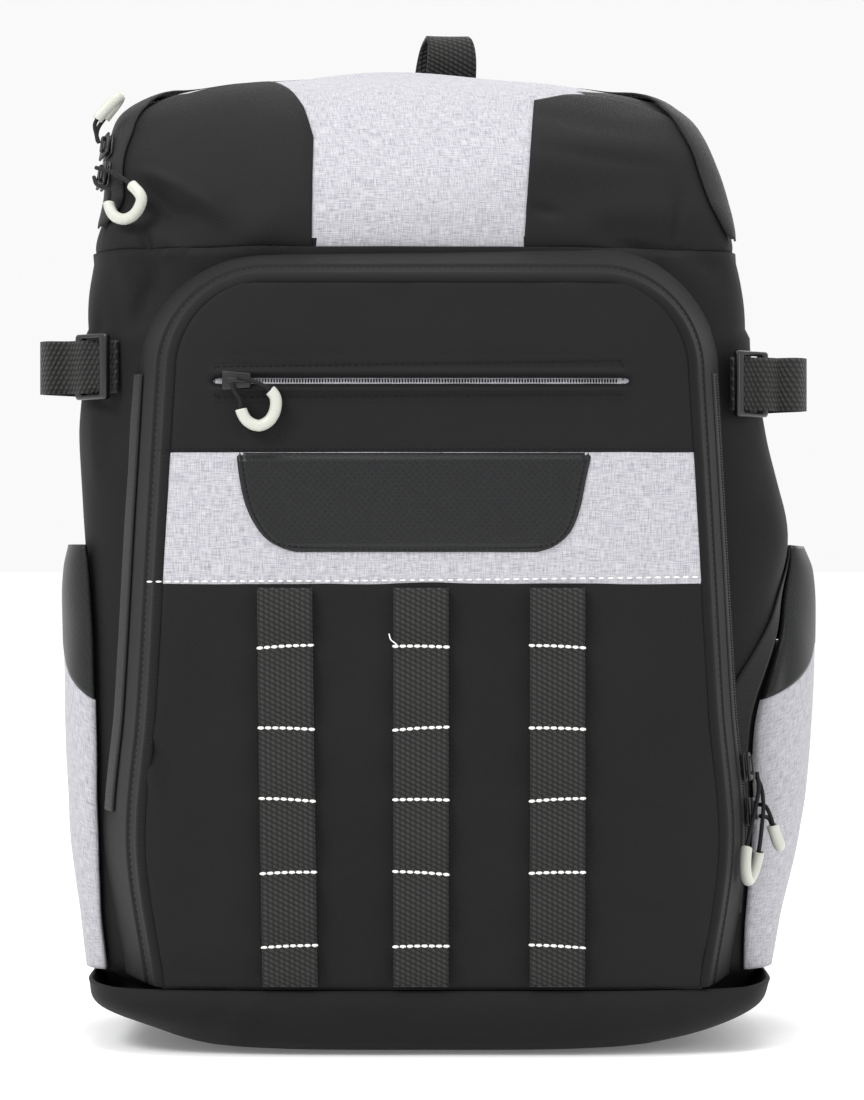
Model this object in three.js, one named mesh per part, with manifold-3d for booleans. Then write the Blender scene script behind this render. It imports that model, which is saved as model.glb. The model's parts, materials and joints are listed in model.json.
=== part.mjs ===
// Baseball bat backpack, standing by itself on its flattened base.
// Millimetres. X runs to the right as the front pocket is looked at, which is the wearer's right,
// Y from the front pocket towards the wearer's back, Z up. The origin is on the floor, under the pack.

import * as THREE from 'three';
import { mergeVertices } from 'three/addons/utils/BufferGeometryUtils.js';
import Module from 'manifold-3d';

const wasm = await Module();
wasm.setup();

// Sizes of the bag
const HEIGHT = 466;
const HALF_WIDTH = 165;
const BODY_DEPTH = 140;
const BODY_MIDDLE = 20;
const BOOT_HEIGHT = 30;
const BOOT_TUCK = 20;
const TUCK_ROUNDING = 0.7;
const HOOD_SEAM = 372;
const FOLD_DEPTH = 5;
const FOLD_WIDTH = 16;

// Sizes of the front pocket
const PANEL_HALF = 136;
const PANEL_TOP = 358.5;
const PANEL_CORNER = 46;
const POCKET_DEPTH = 51;
const PANEL_FALL = 7;
const LEFT_FLARE = 24;
const RIGHT_FLARE = 15;
const LEFT_SEAT = 34;
const RIGHT_SEAT = 21;
const GUSSET_RISE = 20;
const BAND_LOW = 214;
const BAND_HIGH = 274;
const PATCH_HALF = 82;
const PATCH_FOOT_HALF = 62;
const PATCH_LOW = 230;
const PATCH_CORNER = 16;
const PATCH_SHIFT = -9;
const WINDOW_LENGTH = 184;
const WINDOW_HEIGHT = 13;
const WINDOW_SHIFT = -5;
const WINDOW_LEVEL = 308;

// Cloth, webbing and clearances
const CLOTH = 2;
const TRIM = 1.2;
const SEAM = 0.3;
const WEBBING = 25;
const WEBBING_THICK = 1.6;
const BACK_PAD = 12;

// Daisy chains: webbing sewn down at bar tacks, standing off the cloth between them
const CHAIN_PITCH = 62;
const CHAIN_SHIFT = -5;
const CHAIN_BULGE = 3.4;
const CHAIN_STEPS = 4;

// Zips
const ZIP_TAPE = 22;
const WINDOW_TAPE_LAP = 0.4;
const LEFT_ZIP_END = 108;
const RIGHT_ZIP_END = 92;
const SIDE_ZIP_END = 60;
const ZIP_NEAR = 0.5;
const ZIP_FAR = 0.72;
const ZIP_LINES = 16;
const POCKET_SLIDER_HIGH = 128;
const POCKET_SLIDER_LOW = 108;
const MAIN_SLIDER_STEP = 0.84;
const MAIN_SLIDER_GAP = 3;
const SLIDER_LENGTH = 13;
const SLIDER_WIDTH = 9;
const SLIDER_THICK = 4.5;
const SLIDER_TAIL = 0.6;
const SLIDER_NOSE = 0.4;
const WINDOW_SLIDER_INSET = 0.62;
const CORD = 2;
const TUBE = 5.4;
const TUBE_BORE = 3.6;
const CORD_STEPS = 15;

// Side pockets
const POCKET_MOUTH = 233;
const POCKET_FOOT = 33;
const LEFT_BULGE = 10;
const RIGHT_BULGE = 19;
const TRIM_FRONT = 160;
const TRIM_BACK = 186;
const TRIM_KINK = 1 / 3;
const SIDE_ZIP_NEAR = -0.02;
const SIDE_ZIP_FAR = -0.16;

// Side straps and their ladder locks
const STRAP_LEVEL_LEFT = 317;
const STRAP_LEVEL_RIGHT = 309;
const STRAP_REACH = 19;
const STRAP_RUN = 60;
const LOCK_WIDTH = 23;
const LOCK_HEIGHT = 31;
const LOCK_BAR = 5;
const LOCK_THICK = 3.6;
const LOCK_TURN = 0.1;
const LOCK_SPAN = 0.07;
const LOCK_RISE = 2.55;

// Haul loop
const HAUL_RISE = 24;
const HAUL_GAP = 20;

// Shoulder straps
const SHOULDER_WIDTH = 62;
const SHOULDER_PAD = 11;
const SHOULDER_TOP = 418;
const SHOULDER_FOOT = 150;
const SHOULDER_SPREAD = 44;
const SHOULDER_REACH = 32;
const WEB_FOOT = 48;
const WEB_TUCK = 1.4;
const WEB_BOW_SHARE = 0.55;
const WEB_BOW_ASIDE = 3;
const WEB_BOW_BACK = 5;
const FOOT_TURN = 0.07;
const FOOT_SPAN = 0.03;
const STRAP_END = 0.94;

// Bows of cloth and webbing between where they are held: the sine is flattened by these powers
const CHAIN_BOW = 0.8;
const POCKET_BOW = 0.6;

// Step for slopes, and stations round the body
const TINY = 0.002;
const STATIONS = 32;

function tableOf(names, rows) {
  const columns = names.split(' ');
  return rows.map((row) => Object.fromEntries(columns.map((name, i) => [name, row[i]])));
}

const clamp = THREE.MathUtils.clamp;
const lerp = THREE.MathUtils.lerp;

// Smooth value of one column of a table at a place between its rows
function along(rows, key, column, at) {
  let i = 0;
  while (i < rows.length - 2 && at > rows[i + 1][key]) i += 1;
  const low = rows[i];
  const high = rows[i + 1];
  const span = high[key] - low[key];
  const slope = (k) => {
    const before = rows[Math.max(k - 1, 0)];
    const after = rows[Math.min(k + 1, rows.length - 1)];
    return (after[column] - before[column]) / (after[key] - before[key]);
  };
  const t = clamp((at - low[key]) / span, 0, 1);
  const ease = t * t * (3 - 2 * t);
  const rise = t * (1 - t) * (1 - t) * slope(i) - t * t * (1 - t) * slope(i + 1);
  return lerp(low[column], high[column], ease) + rise * span;
}

// Boot sections. rise: share of BOOT_HEIGHT; side: share of HALF_WIDTH;
// front: share of POCKET_DEPTH in front of the body; back: share of half of BODY_DEPTH
const BOOT_ROWS = tableOf('rise left right front back square', [
  [0.00, 0.60, 0.58, 0.50, 0.72, 4.0],
  [0.09, 0.69, 0.67, 0.76, 0.84, 4.4],
  [0.30, 0.80, 0.81, 0.90, 0.93, 4.7],
  [0.63, 0.95, 0.93, 0.98, 0.99, 4.9],
  [1.00, 0.980, 0.965, 1.00, 1.01, 5.0],
]);

// Body sections. rise: share of the way from the floor to the hood seam;
// left, right: shares of HALF_WIDTH; front, back: shares of BODY_DEPTH from BODY_MIDDLE
const BODY_ROWS = tableOf('rise left right front back square', [
  [0.08, 0.970, 0.955, 0.500, 0.500, 5.0],
  [0.17, 0.982, 0.960, 0.500, 0.500, 5.0],
  [0.33, 0.994, 0.985, 0.500, 0.500, 4.8],
  [0.55, 1.000, 1.006, 0.500, 0.500, 4.6],
  [0.65, 1.010, 1.030, 0.500, 0.500, 4.6],
  [0.77, 1.026, 0.984, 0.500, 0.500, 4.5],
  [0.87, 1.020, 0.935, 0.505, 0.498, 4.4],
  [0.94, 1.013, 0.920, 0.520, 0.494, 4.2],
  [1.00, 1.000, 0.894, 0.543, 0.488, 4.0],
]);

// Hood sections. step: order of the sections; rise: share of the way from the seam to the top
const HOOD_ROWS = tableOf('step rise left right front back square', [
  [0.00, 0.000, 1.000, 0.894, 0.543, 0.488, 4.0],
  [0.18, 0.210, 0.968, 0.868, 0.500, 0.486, 3.9],
  [0.36, 0.430, 0.950, 0.836, 0.429, 0.482, 3.8],
  [0.52, 0.600, 0.940, 0.796, 0.343, 0.474, 3.7],
  [0.68, 0.745, 0.906, 0.732, 0.229, 0.457, 3.6],
  [0.82, 0.855, 0.800, 0.620, 0.100, 0.430, 3.4],
  [0.93, 0.935, 0.640, 0.380, -0.030, 0.385, 3.2],
  [1.00, 0.985, 0.380, 0.120, -0.140, 0.300, 3.0],
]);

// Creases of the slack cloth. Ends as shares of HALF_WIDTH and HEIGHT; width of FOLD_WIDTH;
// depth of FOLD_DEPTH, below zero where the cloth is pulled in
const FOLD_ROWS = tableOf('x0 z0 x1 z1 width depth', [
  [-0.86, 0.885, -0.50, 0.815, 0.90, 0.55],
  [-0.92, 0.850, -0.62, 0.818, 0.90, -0.60],
  [-0.98, 0.790, -0.80, 0.760, 0.80, -0.50],
  [0.30, 0.850, 0.74, 0.880, 1.20, -0.40],
  [0.32, 0.905, 0.70, 0.895, 0.90, 0.30],
  [0.52, 0.814, 0.78, 0.803, 0.90, -0.60],
  [-0.34, 0.860, 0.26, 0.865, 1.20, 0.30],
  [-1.00, 0.700, -0.90, 0.620, 0.80, -0.50],
  [0.92, 0.690, 0.98, 0.560, 0.80, -0.50],
]);

// Soft waves of the front pocket's face, as the rows above
const FACE_FOLD_ROWS = tableOf('x0 z0 x1 z1 width depth', [
  [-0.62, 0.42, -0.66, 0.14, 0.90, -0.30],
  [-0.18, 0.44, -0.20, 0.12, 1.00, -0.25],
  [0.20, 0.44, 0.18, 0.12, 1.00, -0.25],
  [0.58, 0.42, 0.60, 0.14, 0.90, -0.30],
  [-0.52, 0.70, 0.52, 0.70, 0.80, 0.25],
]);

function foldHeight(rows, x, z) {
  let height = 0;
  for (const fold of rows) {
    const start = new THREE.Vector2(fold.x0 * HALF_WIDTH, fold.z0 * HEIGHT);
    const run = new THREE.Vector2(fold.x1 * HALF_WIDTH, fold.z1 * HEIGHT).sub(start);
    const here = new THREE.Vector2(x, z).sub(start);
    const share = clamp(here.dot(run) / run.lengthSq(), 0, 1);
    const away = here.sub(run.multiplyScalar(share)).length() / (fold.width * FOLD_WIDTH);
    height += fold.depth * FOLD_DEPTH * Math.exp(-away * away);
  }
  return height;
}

// Point on a rounded section. turn runs 0 to 4 anticlockwise seen from above:
// 0 to 1 along the front from left to right, 1 to 2 the right side, 2 to 3 the back, 3 to 4 the left
function sectionPoint(section, turn) {
  const side = ((turn % 4) + 4) % 4;
  const run = 2 * (side % 1) - 1;
  const square = [[run, -1], [1, run], [-run, 1], [-1, -run]][Math.floor(side)];
  const reach = (Math.abs(square[0]) ** section.square + Math.abs(square[1]) ** section.square)
    ** (1 / section.square);
  return new THREE.Vector3(
    (section.right - section.left) / 2 + (section.right + section.left) / 2 * square[0] / reach,
    (section.back + section.front) / 2 + (section.back - section.front) / 2 * square[1] / reach,
    section.z,
  );
}

// The turn at which a section's front passes a given x
function turnAtX(section, x) {
  const half = (section.right + section.left) / 2;
  const share = (x - (section.right - section.left) / 2) / half;
  const run = share / (1 - Math.abs(share) ** section.square) ** (1 / section.square);
  return (run + 1) / 2;
}

function bootSection(z) {
  const column = (name) => along(BOOT_ROWS, 'rise', name, z / BOOT_HEIGHT);
  return {
    z,
    left: column('left') * HALF_WIDTH,
    right: column('right') * HALF_WIDTH,
    front: BODY_MIDDLE - BODY_DEPTH / 2 - column('front') * POCKET_DEPTH,
    back: BODY_MIDDLE + column('back') * BODY_DEPTH / 2,
    square: column('square'),
  };
}

// level runs 0 to 1 from the floor to the hood seam and 1 to 2 from there to the top of the hood
function bodySection(level) {
  const inHood = level > 1;
  const rows = inHood ? HOOD_ROWS : BODY_ROWS;
  const column = (name) => along(rows, inHood ? 'step' : 'rise', name, inHood ? level - 1 : level);
  const section = {
    z: inHood ? HOOD_SEAM + column('rise') * (HEIGHT - HOOD_SEAM) : level * HOOD_SEAM,
    left: column('left') * HALF_WIDTH,
    right: column('right') * HALF_WIDTH,
    front: BODY_MIDDLE - column('front') * BODY_DEPTH,
    back: BODY_MIDDLE + column('back') * BODY_DEPTH,
    square: column('square'),
  };
  if (section.z < BOOT_HEIGHT) {
    const boot = bootSection(section.z);
    const inset = CLOTH + 4 * SEAM;
    section.left = Math.min(section.left, boot.left - inset);
    section.right = Math.min(section.right, boot.right - inset);
    section.back = Math.min(section.back, boot.back - inset);
    section.square = boot.square * TUCK_ROUNDING;
  }
  return section;
}

// Moves a point of a surface along its normal, where surface(u, v) gives the point
function lifted(surface, u, v, out) {
  const across = surface(u + TINY, v).sub(surface(u - TINY, v));
  const up = surface(u, v + TINY).sub(surface(u, v - TINY));
  return surface(u, v).addScaledVector(across.cross(up).normalize(), out);
}

function bareBody(turn, level) {
  return sectionPoint(bodySection(level), turn);
}

// The folds show on the front half of the cloth and fade out round the sides
function bodyPoint(turn, level, out = 0) {
  const point = bareBody(turn, level);
  const facing = clamp((BODY_MIDDLE - point.y) / (BODY_DEPTH / 2), 0, 1);
  return lifted(bareBody, turn, level, out + facing * foldHeight(FOLD_ROWS, point.x, point.z));
}

const levelAt = (z) => z / HOOD_SEAM;

// Width of the front panel. rise: share of the way from the boot to the corners; width: share of PANEL_HALF
const PANEL_ROWS = tableOf('rise width', [[0, 0.935], [0.23, 1], [0.45, 0.965], [0.75, 0.93], [1, 0.9]]);

// Half width of the front panel at a height
function panelHalf(z) {
  const cornerLevel = PANEL_TOP - PANEL_CORNER;
  const share = clamp((z - BOOT_HEIGHT) / (cornerLevel - BOOT_HEIGHT), 0, 1);
  return along(PANEL_ROWS, 'rise', 'width', share) * PANEL_HALF;
}

// Length of the panel's outline from foot to foot
const POCKET_GIRTH = 2 * (PANEL_TOP - PANEL_CORNER - BOOT_HEIGHT - SEAM
  + PANEL_CORNER * Math.PI / 2 + panelHalf(PANEL_TOP - PANEL_CORNER) - PANEL_CORNER);

// Outline of the front panel as seen from the front, from a low corner (0) to the top centre (1)
function panelOutline(share, side, inset = 0) {
  const cornerLevel = PANEL_TOP - PANEL_CORNER;
  const foot = BOOT_HEIGHT + SEAM;
  const straight = cornerLevel - foot;
  const arc = PANEL_CORNER * Math.PI / 2;
  const top = panelHalf(cornerLevel) - PANEL_CORNER;
  const at = clamp(share, 0, 1) * (straight + arc + top);
  const radius = PANEL_CORNER - inset;
  if (at < straight) {
    return new THREE.Vector2(side * (panelHalf(foot + at) - inset), foot + at);
  }
  if (at < straight + arc) {
    const angle = (at - straight) / PANEL_CORNER;
    return new THREE.Vector2(side * (top + radius * Math.cos(angle)),
      cornerLevel + radius * Math.sin(angle));
  }
  return new THREE.Vector2(side * (top - (at - straight - arc)), cornerLevel + radius);
}

// Places round half of the outline, from the foot to the top centre: few on the straight, more on the arc
function outlineShares() {
  const straight = PANEL_TOP - PANEL_CORNER - BOOT_HEIGHT - SEAM;
  const arc = PANEL_CORNER * Math.PI / 2;
  const top = POCKET_GIRTH / 2 - straight - arc;
  const shares = [];
  let start = 0;
  for (const [length, steps] of [[straight, 4], [arc, 5], [top, 2]]) {
    for (let k = 0; k < steps; k += 1) shares.push((start + length * k / steps) / (POCKET_GIRTH / 2));
    start += length;
  }
  return [...shares, 1];
}

// Depth of the front panel's face: fullest low down, falling back to its sides, top and foot
const FACE_ROWS = tableOf('rise depth', [
  [0.0, 0.94], [0.2, 1.00], [0.5, 1.00], [0.8, 0.96], [0.93, 0.90], [1.0, 0.84],
]);

function facePoint(x, z) {
  const share = (z - BOOT_HEIGHT) / (PANEL_TOP - BOOT_HEIGHT);
  const depth = along(FACE_ROWS, 'rise', 'depth', share) * POCKET_DEPTH;
  const fall = PANEL_FALL * Math.abs(x / PANEL_HALF) ** 4;
  const front = BODY_MIDDLE - BODY_DEPTH / 2 - depth + fall;
  return new THREE.Vector3(x, front - foldHeight(FACE_FOLD_ROWS, x, z), z);
}

// Side wall of the front pocket. q runs -1 to 1 round the panel from its left to its right foot,
// depth 0 to 1 from the face back into the body
function bareGusset(q, depth) {
  const share = 1 - Math.abs(q);
  const side = q < 0 ? -1 : 1;
  const here = panelOutline(share, side);
  const next = panelOutline(Math.min(share + TINY, 1), side);
  const before = panelOutline(Math.max(share - TINY, 0), side);
  const run = next.sub(before).normalize();
  const out = new THREE.Vector2(side * run.y, -side * run.x);
  const face = facePoint(here.x, here.y);
  const leftness = clamp(0.5 - 2 * q, 0, 1);
  const back = BODY_MIDDLE - BODY_DEPTH / 2 + lerp(RIGHT_SEAT, LEFT_SEAT, leftness);
  return new THREE.Vector3(
    here.x + out.x * lerp(RIGHT_FLARE, LEFT_FLARE, leftness) * depth,
    lerp(face.y, back, depth),
    here.y + Math.max(out.y, 0) * GUSSET_RISE * depth,
  );
}

const gussetPoint = (q, depth, out = 0) => lifted(bareGusset, q, depth, out);

// Closed meshes: points and triangles, turned right side out
function bodyOf(points, triangles) {
  const positions = new Float32Array(points.flatMap((p) => [p.x, p.y, p.z]));
  let volume = 0;
  for (const [a, b, c] of triangles) {
    volume += points[a].dot(new THREE.Vector3().crossVectors(points[b], points[c]));
  }
  const order = volume < 0 ? triangles.map(([a, b, c]) => [a, c, b]) : triangles;
  const geometry = new THREE.BufferGeometry();
  geometry.setAttribute('position', new THREE.BufferAttribute(positions, 3));
  geometry.setIndex(order.flat());
  return geometry;
}

// Rings stitched one to the next. closed joins the last to the first; otherwise the ends are capped
function ringsSolid(rings, closed = false) {
  const count = rings[0].length;
  const points = rings.flat();
  const triangles = [];
  const last = closed ? rings.length : rings.length - 1;
  for (let i = 0; i < last; i += 1) {
    const low = i * count;
    const high = ((i + 1) % rings.length) * count;
    for (let k = 0; k < count; k += 1) {
      const n = (k + 1) % count;
      triangles.push([low + k, low + n, high + n], [low + k, high + n, high + k]);
    }
  }
  if (!closed) {
    for (const [start, flip] of [[0, true], [(rings.length - 1) * count, false]]) {
      const centre = points.length;
      const ring = points.slice(start, start + count);
      points.push(ring.reduce((sum, p) => sum.add(p), new THREE.Vector3()).divideScalar(count));
      for (let k = 0; k < count; k += 1) {
        const n = (k + 1) % count;
        triangles.push(flip ? [start + n, start + k, centre] : [start + k, start + n, centre]);
      }
    }
  }
  return bodyOf(points, triangles);
}

// A slab between two grids of points; at(i, j, side) with i and j as shares and side 0 or 1
function slab(across, upward, at) {
  const rings = [];
  for (let j = 0; j <= upward; j += 1) {
    const outer = [];
    const inner = [];
    for (let i = 0; i <= across; i += 1) {
      outer.push(at(i / across, j / upward, 1));
      inner.unshift(at(i / across, j / upward, 0));
    }
    rings.push([...outer, ...inner]);
  }
  const count = rings[0].length;
  const points = rings.flat();
  const triangles = [];
  for (let j = 0; j < upward; j += 1) {
    for (let k = 0; k < count; k += 1) {
      const n = (k + 1) % count;
      const low = j * count;
      const high = low + count;
      triangles.push([low + k, low + n, high + n], [low + k, high + n, high + k]);
    }
  }
  for (const [start, flip] of [[0, true], [upward * count, false]]) {
    for (let i = 0; i < across; i += 1) {
      const a = start + i;
      const b = start + i + 1;
      const c = start + count - 2 - i;
      const d = start + count - 1 - i;
      triangles.push(flip ? [b, a, d] : [a, b, c], flip ? [c, b, d] : [a, c, d]);
    }
  }
  return bodyOf(points, triangles);
}

function toManifold(geometry) {
  const bare = new THREE.BufferGeometry();
  bare.setAttribute('position', geometry.getAttribute('position').clone());
  if (geometry.index) bare.setIndex(geometry.index.clone());
  const merged = mergeVertices(bare, 1e-4);
  return new wasm.Manifold(new wasm.Mesh({
    numProp: 3,
    vertProperties: new Float32Array(merged.getAttribute('position').array),
    triVerts: new Uint32Array(merged.index.array),
  }));
}

// The largest body of a solid: a trim can leave crumbs of no size beside it
function largest(solid) {
  return solid.decompose().sort((a, b) => b.volume() - a.volume())[0];
}

function fromManifold(solid) {
  const mesh = largest(solid).getMesh();
  const geometry = new THREE.BufferGeometry();
  geometry.setAttribute('position', new THREE.BufferAttribute(new Float32Array(mesh.vertProperties), 3));
  geometry.setIndex([...mesh.triVerts]);
  return geometry;
}

const cut = (geometry, tool) => fromManifold(toManifold(geometry).subtract(tool));

// Finishes: colour, roughness, metalness
const FINISHES = {
  blackCloth: [0x2d2d30, 0.85, 0],
  greyCloth: [0xc4c4cd, 0.9, 0],
  leather: [0x24272b, 0.5, 0],
  webbing: [0x232422, 0.8, 0],
  zip: [0x1c1c1e, 0.6, 0],
  plastic: [0x17181a, 0.35, 0],
  rubber: [0xcdd0c8, 0.45, 0],
  mesh: [0x28282b, 0.9, 0],
};

const pack = new THREE.Group();

function add(name, geometry, finish) {
  const [color, roughness, metalness] = FINISHES[finish];
  const material = new THREE.MeshStandardMaterial({ color, roughness, metalness });
  const mesh = new THREE.Mesh(geometry, material);
  mesh.name = name;
  pack.add(mesh);
  return mesh;
}

const turns = Array.from({ length: STATIONS }, (_, k) => 4 * k / STATIONS);
// A ring of the body; a ring on an edge that meets another piece is given that edge's height
function ringAt(level, out) {
  const ring = turns.map((turn) => bodyPoint(turn, level, out));
  const edge = edges.find((each) => each.level === level);
  return edge ? ring.map((point) => point.setZ(edge.z)) : ring;
}

// Levels of the rings of body and hood
const BODY_STEPS = 6;
const bodyFoot = levelAt(BOOT_HEIGHT - BOOT_TUCK);
const bodyHead = 1 - levelAt(SEAM);
const bodyLevels = [
  bodyFoot,
  levelAt(BOOT_HEIGHT - SEAM),
  ...Array.from({ length: BODY_STEPS }, (_, k) => lerp(levelAt(BOOT_HEIGHT), bodyHead, (k + 0.5) / BODY_STEPS)),
  bodyHead,
];
const hoodLevels = [1 + TINY, ...HOOD_ROWS.slice(1).map((row) => 1 + row.step)];
const edges = [
  { level: bodyFoot, z: BOOT_HEIGHT - BOOT_TUCK },
  { level: bodyHead, z: HOOD_SEAM - SEAM / 2 },
  { level: hoodLevels[0], z: HOOD_SEAM + SEAM / 2 },
];

// Whole outer form of body and hood, grown by a clearance, to trim what lies on it
function bodyForm(grow) {
  const levels = [...bodyLevels, ...hoodLevels];
  return toManifold(ringsSolid(levels.map((level) => ringAt(level, grow))));
}

const bodyClear = bodyForm(SEAM);

// Slab of the front face between two offsets; its grid is the same for every panel
const FACE_COLUMNS = 10;
const FACE_LINES = 9;
function faceSlab(low, high) {
  const half = PANEL_HALF + CLOTH;
  return slab(FACE_COLUMNS, FACE_LINES, (i, j, side) => lifted(facePoint,
    lerp(-half, half, i), lerp(BOOT_HEIGHT - CLOTH, PANEL_TOP + CLOTH, j), side ? high : low));
}

// A prism through the front face with an outline in X and Z
function frontPrism(outline) {
  const depth = 4 * POCKET_DEPTH;
  const geometry = new THREE.ExtrudeGeometry(outline, { depth, bevelEnabled: false, curveSegments: 6 });
  geometry.rotateX(Math.PI / 2);
  geometry.translate(0, BODY_MIDDLE, 0);
  return toManifold(geometry);
}

// The front panel's outline between two heights
function panelShape(low, high) {
  const inset = CLOTH + SEAM;
  const shares = outlineShares();
  const outline = [
    ...shares.map((share) => panelOutline(share, 1, inset)),
    ...shares.slice(0, -1).reverse().map((share) => panelOutline(share, -1, inset)),
  ];
  const whole = frontPrism(new THREE.Shape(outline));
  const tall = high - low;
  const box = new THREE.BoxGeometry(4 * PANEL_HALF, 6 * POCKET_DEPTH, tall);
  box.translate(0, BODY_MIDDLE - BODY_DEPTH / 2, low + tall / 2);
  return whole.intersect(toManifold(box));
}

// Bottom boot: a shallow tray of heavier cloth that the pack stands on
function boot() {
  const ring = (z, out) => {
    const section = bootSection(z);
    for (const name of ['left', 'right', 'back']) section[name] += out;
    section.front -= out;
    return turns.map((turn) => sectionPoint(section, turn));
  };
  const heights = BOOT_ROWS.map((row) => row.rise * BOOT_HEIGHT);
  const outer = heights.map((z) => ring(z, 0));
  const inner = heights.slice(1).map((z) => ring(z, -CLOTH)).reverse();
  const floor = ring(0, -CLOTH).map((point) => point.setZ(CLOTH));
  add('base_boot', ringsSolid([...outer, ...inner, floor]), 'blackCloth');
}

function mainBody() {
  const outer = bodyLevels.map((level) => ringAt(level, 0));
  const inner = bodyLevels.map((level) => ringAt(level, -CLOTH)).reverse();
  add('main_body', ringsSolid([...outer, ...inner], true), 'blackCloth');
}

function hood() {
  const outer = hoodLevels.map((level) => ringAt(level, 0));
  const inner = hoodLevels.map((level) => ringAt(level, -CLOTH)).reverse();
  add('hood', ringsSolid([...inner, ...outer]), 'greyCloth');
}

// Black side panels sewn over the grey hood. top: how far up the hood each place of the edge reaches
const LEFT_PANEL_ROWS = tableOf('across top', [
  [0.00, 0.66], [0.22, 0.86], [0.50, 0.93], [0.72, 0.92], [0.88, 0.84], [0.96, 0.70], [1.00, 0.50],
]);
const RIGHT_PANEL_ROWS = tableOf('across top', [
  [0.00, 0.74], [0.20, 0.80], [0.50, 0.80], [0.80, 0.72], [1.00, 0.56],
]);

// Edges of the side panels: how far past the pack's corners they reach, as a turn, and where their
// inner edges run, as shares of HALF_WIDTH
const PANEL_OVERLAP = 0.12;
const LEFT_EDGE = -0.34;
const RIGHT_EDGE = 0.26;
const RIGHT_EDGE_LEAN = 0.05;

function hoodPanel(name, rows, turnFrom, turnTo) {
  const geometry = slab(8, 5, (i, j, side) => {
    const level = 1 + TINY + j * along(rows, 'across', 'top', i);
    const turn = lerp(turnFrom(level), turnTo(level), i);
    return bodyPoint(turn, level, side ? SEAM + TRIM : -TRIM);
  });
  add(name, cut(geometry, bodyClear.add(zipStrip(ZIP_TAPE / 2 + SEAM, CLOTH))), 'blackCloth');
}

function hoodPanels() {
  const turnOf = (level, share) => turnAtX(bodySection(level), share * HALF_WIDTH);
  hoodPanel('hood_panel_left', LEFT_PANEL_ROWS, () => -PANEL_OVERLAP, (level) => turnOf(level, LEFT_EDGE));
  hoodPanel('hood_panel_right', RIGHT_PANEL_ROWS,
    (level) => turnOf(level, RIGHT_EDGE + RIGHT_EDGE_LEAN * (level - 1)), () => 1 + PANEL_OVERLAP);
}

// Long zip of the main opening: up one side, over the back of the hood and down the other
const MAIN_ZIP_ROWS = tableOf('step turn level', [
  [0.00, 1.21, 1.04], [0.12, 1.22, 1.36], [0.22, 1.26, 1.60], [0.30, 1.42, 1.76], [0.38, 1.76, 1.84],
  [0.50, 2.50, 1.86], [0.62, 3.24, 1.84], [0.70, 3.58, 1.76], [0.78, 3.74, 1.60], [0.88, 3.78, 1.36],
  [1.00, 3.79, 1.10],
]);

// Point beside a path drawn on a surface: aside is measured along the surface from the path
function besidePath(surface, path, step, aside, out) {
  const [u, v] = path(step);
  const across = surface(u + TINY, v, 0).sub(surface(u - TINY, v, 0)).divideScalar(2 * TINY);
  const up = surface(u, v + TINY, 0).sub(surface(u, v - TINY, 0)).divideScalar(2 * TINY);
  const ahead = surface(...path(step + TINY), 0).sub(surface(...path(step - TINY), 0));
  const sideways = across.clone().cross(up).cross(ahead).normalize().multiplyScalar(aside);
  const uu = across.dot(across);
  const vv = up.dot(up);
  const uv = across.dot(up);
  const det = uu * vv - uv * uv;
  const su = sideways.dot(across);
  const sv = sideways.dot(up);
  return surface(u + (su * vv - sv * uv) / det, v + (sv * uu - su * uv) / det, out);
}

const zipPath = (step) => ['turn', 'level'].map((name) => along(MAIN_ZIP_ROWS, 'step', name, step));

function zipStrip(half, out) {
  return toManifold(slab(2, ZIP_LINES, (i, j, side) => besidePath(bodyPoint, zipPath,
    lerp(TINY, 1 - TINY, j), lerp(-half, half, i), side ? out : -TRIM)));
}

function mainZip() {
  add('main_zip', fromManifold(zipStrip(ZIP_TAPE / 2, SEAM + TRIM).subtract(bodyClear)), 'zip');
}

// Padded back, with a channel down its middle
const BACK_EDGE_TURN = 0.13;
const BACK_TOP_LEVEL = 1.5;
const BACK_RIM = 0.4;
const BACK_RIM_SHARE = 0.1;
const CHANNEL_DEPTH = 0.45;
const CHANNEL_HALF = 1 / 12;

function backSlab(grow) {
  const low = levelAt(BOOT_HEIGHT + CLOTH);
  const pad = (i, j) => {
    const rim = clamp(Math.min(i, 1 - i, j, 1 - j) / BACK_RIM_SHARE, 0, 1);
    const channel = CHANNEL_DEPTH * Math.exp(-(((i - 0.5) / CHANNEL_HALF) ** 2));
    return BACK_PAD * lerp(BACK_RIM, 1, rim) * (1 - channel);
  };
  return slab(8, 6, (i, j, side) => bodyPoint(lerp(2 + BACK_EDGE_TURN, 3 - BACK_EDGE_TURN, i),
    lerp(low, BACK_TOP_LEVEL, j), side ? SEAM + pad(i, j) + grow : -TRIM));
}

const backClear = toManifold(backSlab(SEAM)).add(bodyClear);

function backPanel() {
  add('back_panel', cut(backSlab(0), bodyClear), 'mesh');
}

const DEPTH_STEPS = 3;

function gussetSlab(low, high) {
  const half = outlineShares();
  const round = [...half.map((share) => share - 1), ...half.slice(0, -1).map((share) => 1 - share).reverse()];
  const last = round.length - 1;
  return slab(last, DEPTH_STEPS, (i, j, side) => gussetPoint(
    clamp(round[Math.round(i * last)], TINY - 1, 1 - TINY), j, side ? high : low));
}

function pocketGusset() {
  const geometry = gussetSlab(-CLOTH, 0);
  add('pocket_gusset', cut(geometry, bodyClear), 'blackCloth');
}

// A strip lying along the side wall of the pocket, between two heights on one side
function gussetStrip(side, low, high, near, far, out) {
  const whole = POCKET_GIRTH / 2;
  const shareAt = (z) => (z - BOOT_HEIGHT - SEAM) / whole;
  return slab(1, 10, (i, j, face) => gussetPoint(
    side * (1 - lerp(shareAt(low), shareAt(high), j)), lerp(near, far, i), face ? out : -TRIM));
}

const gussetClear = toManifold(gussetSlab(-2 * CLOTH, SEAM));

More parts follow.
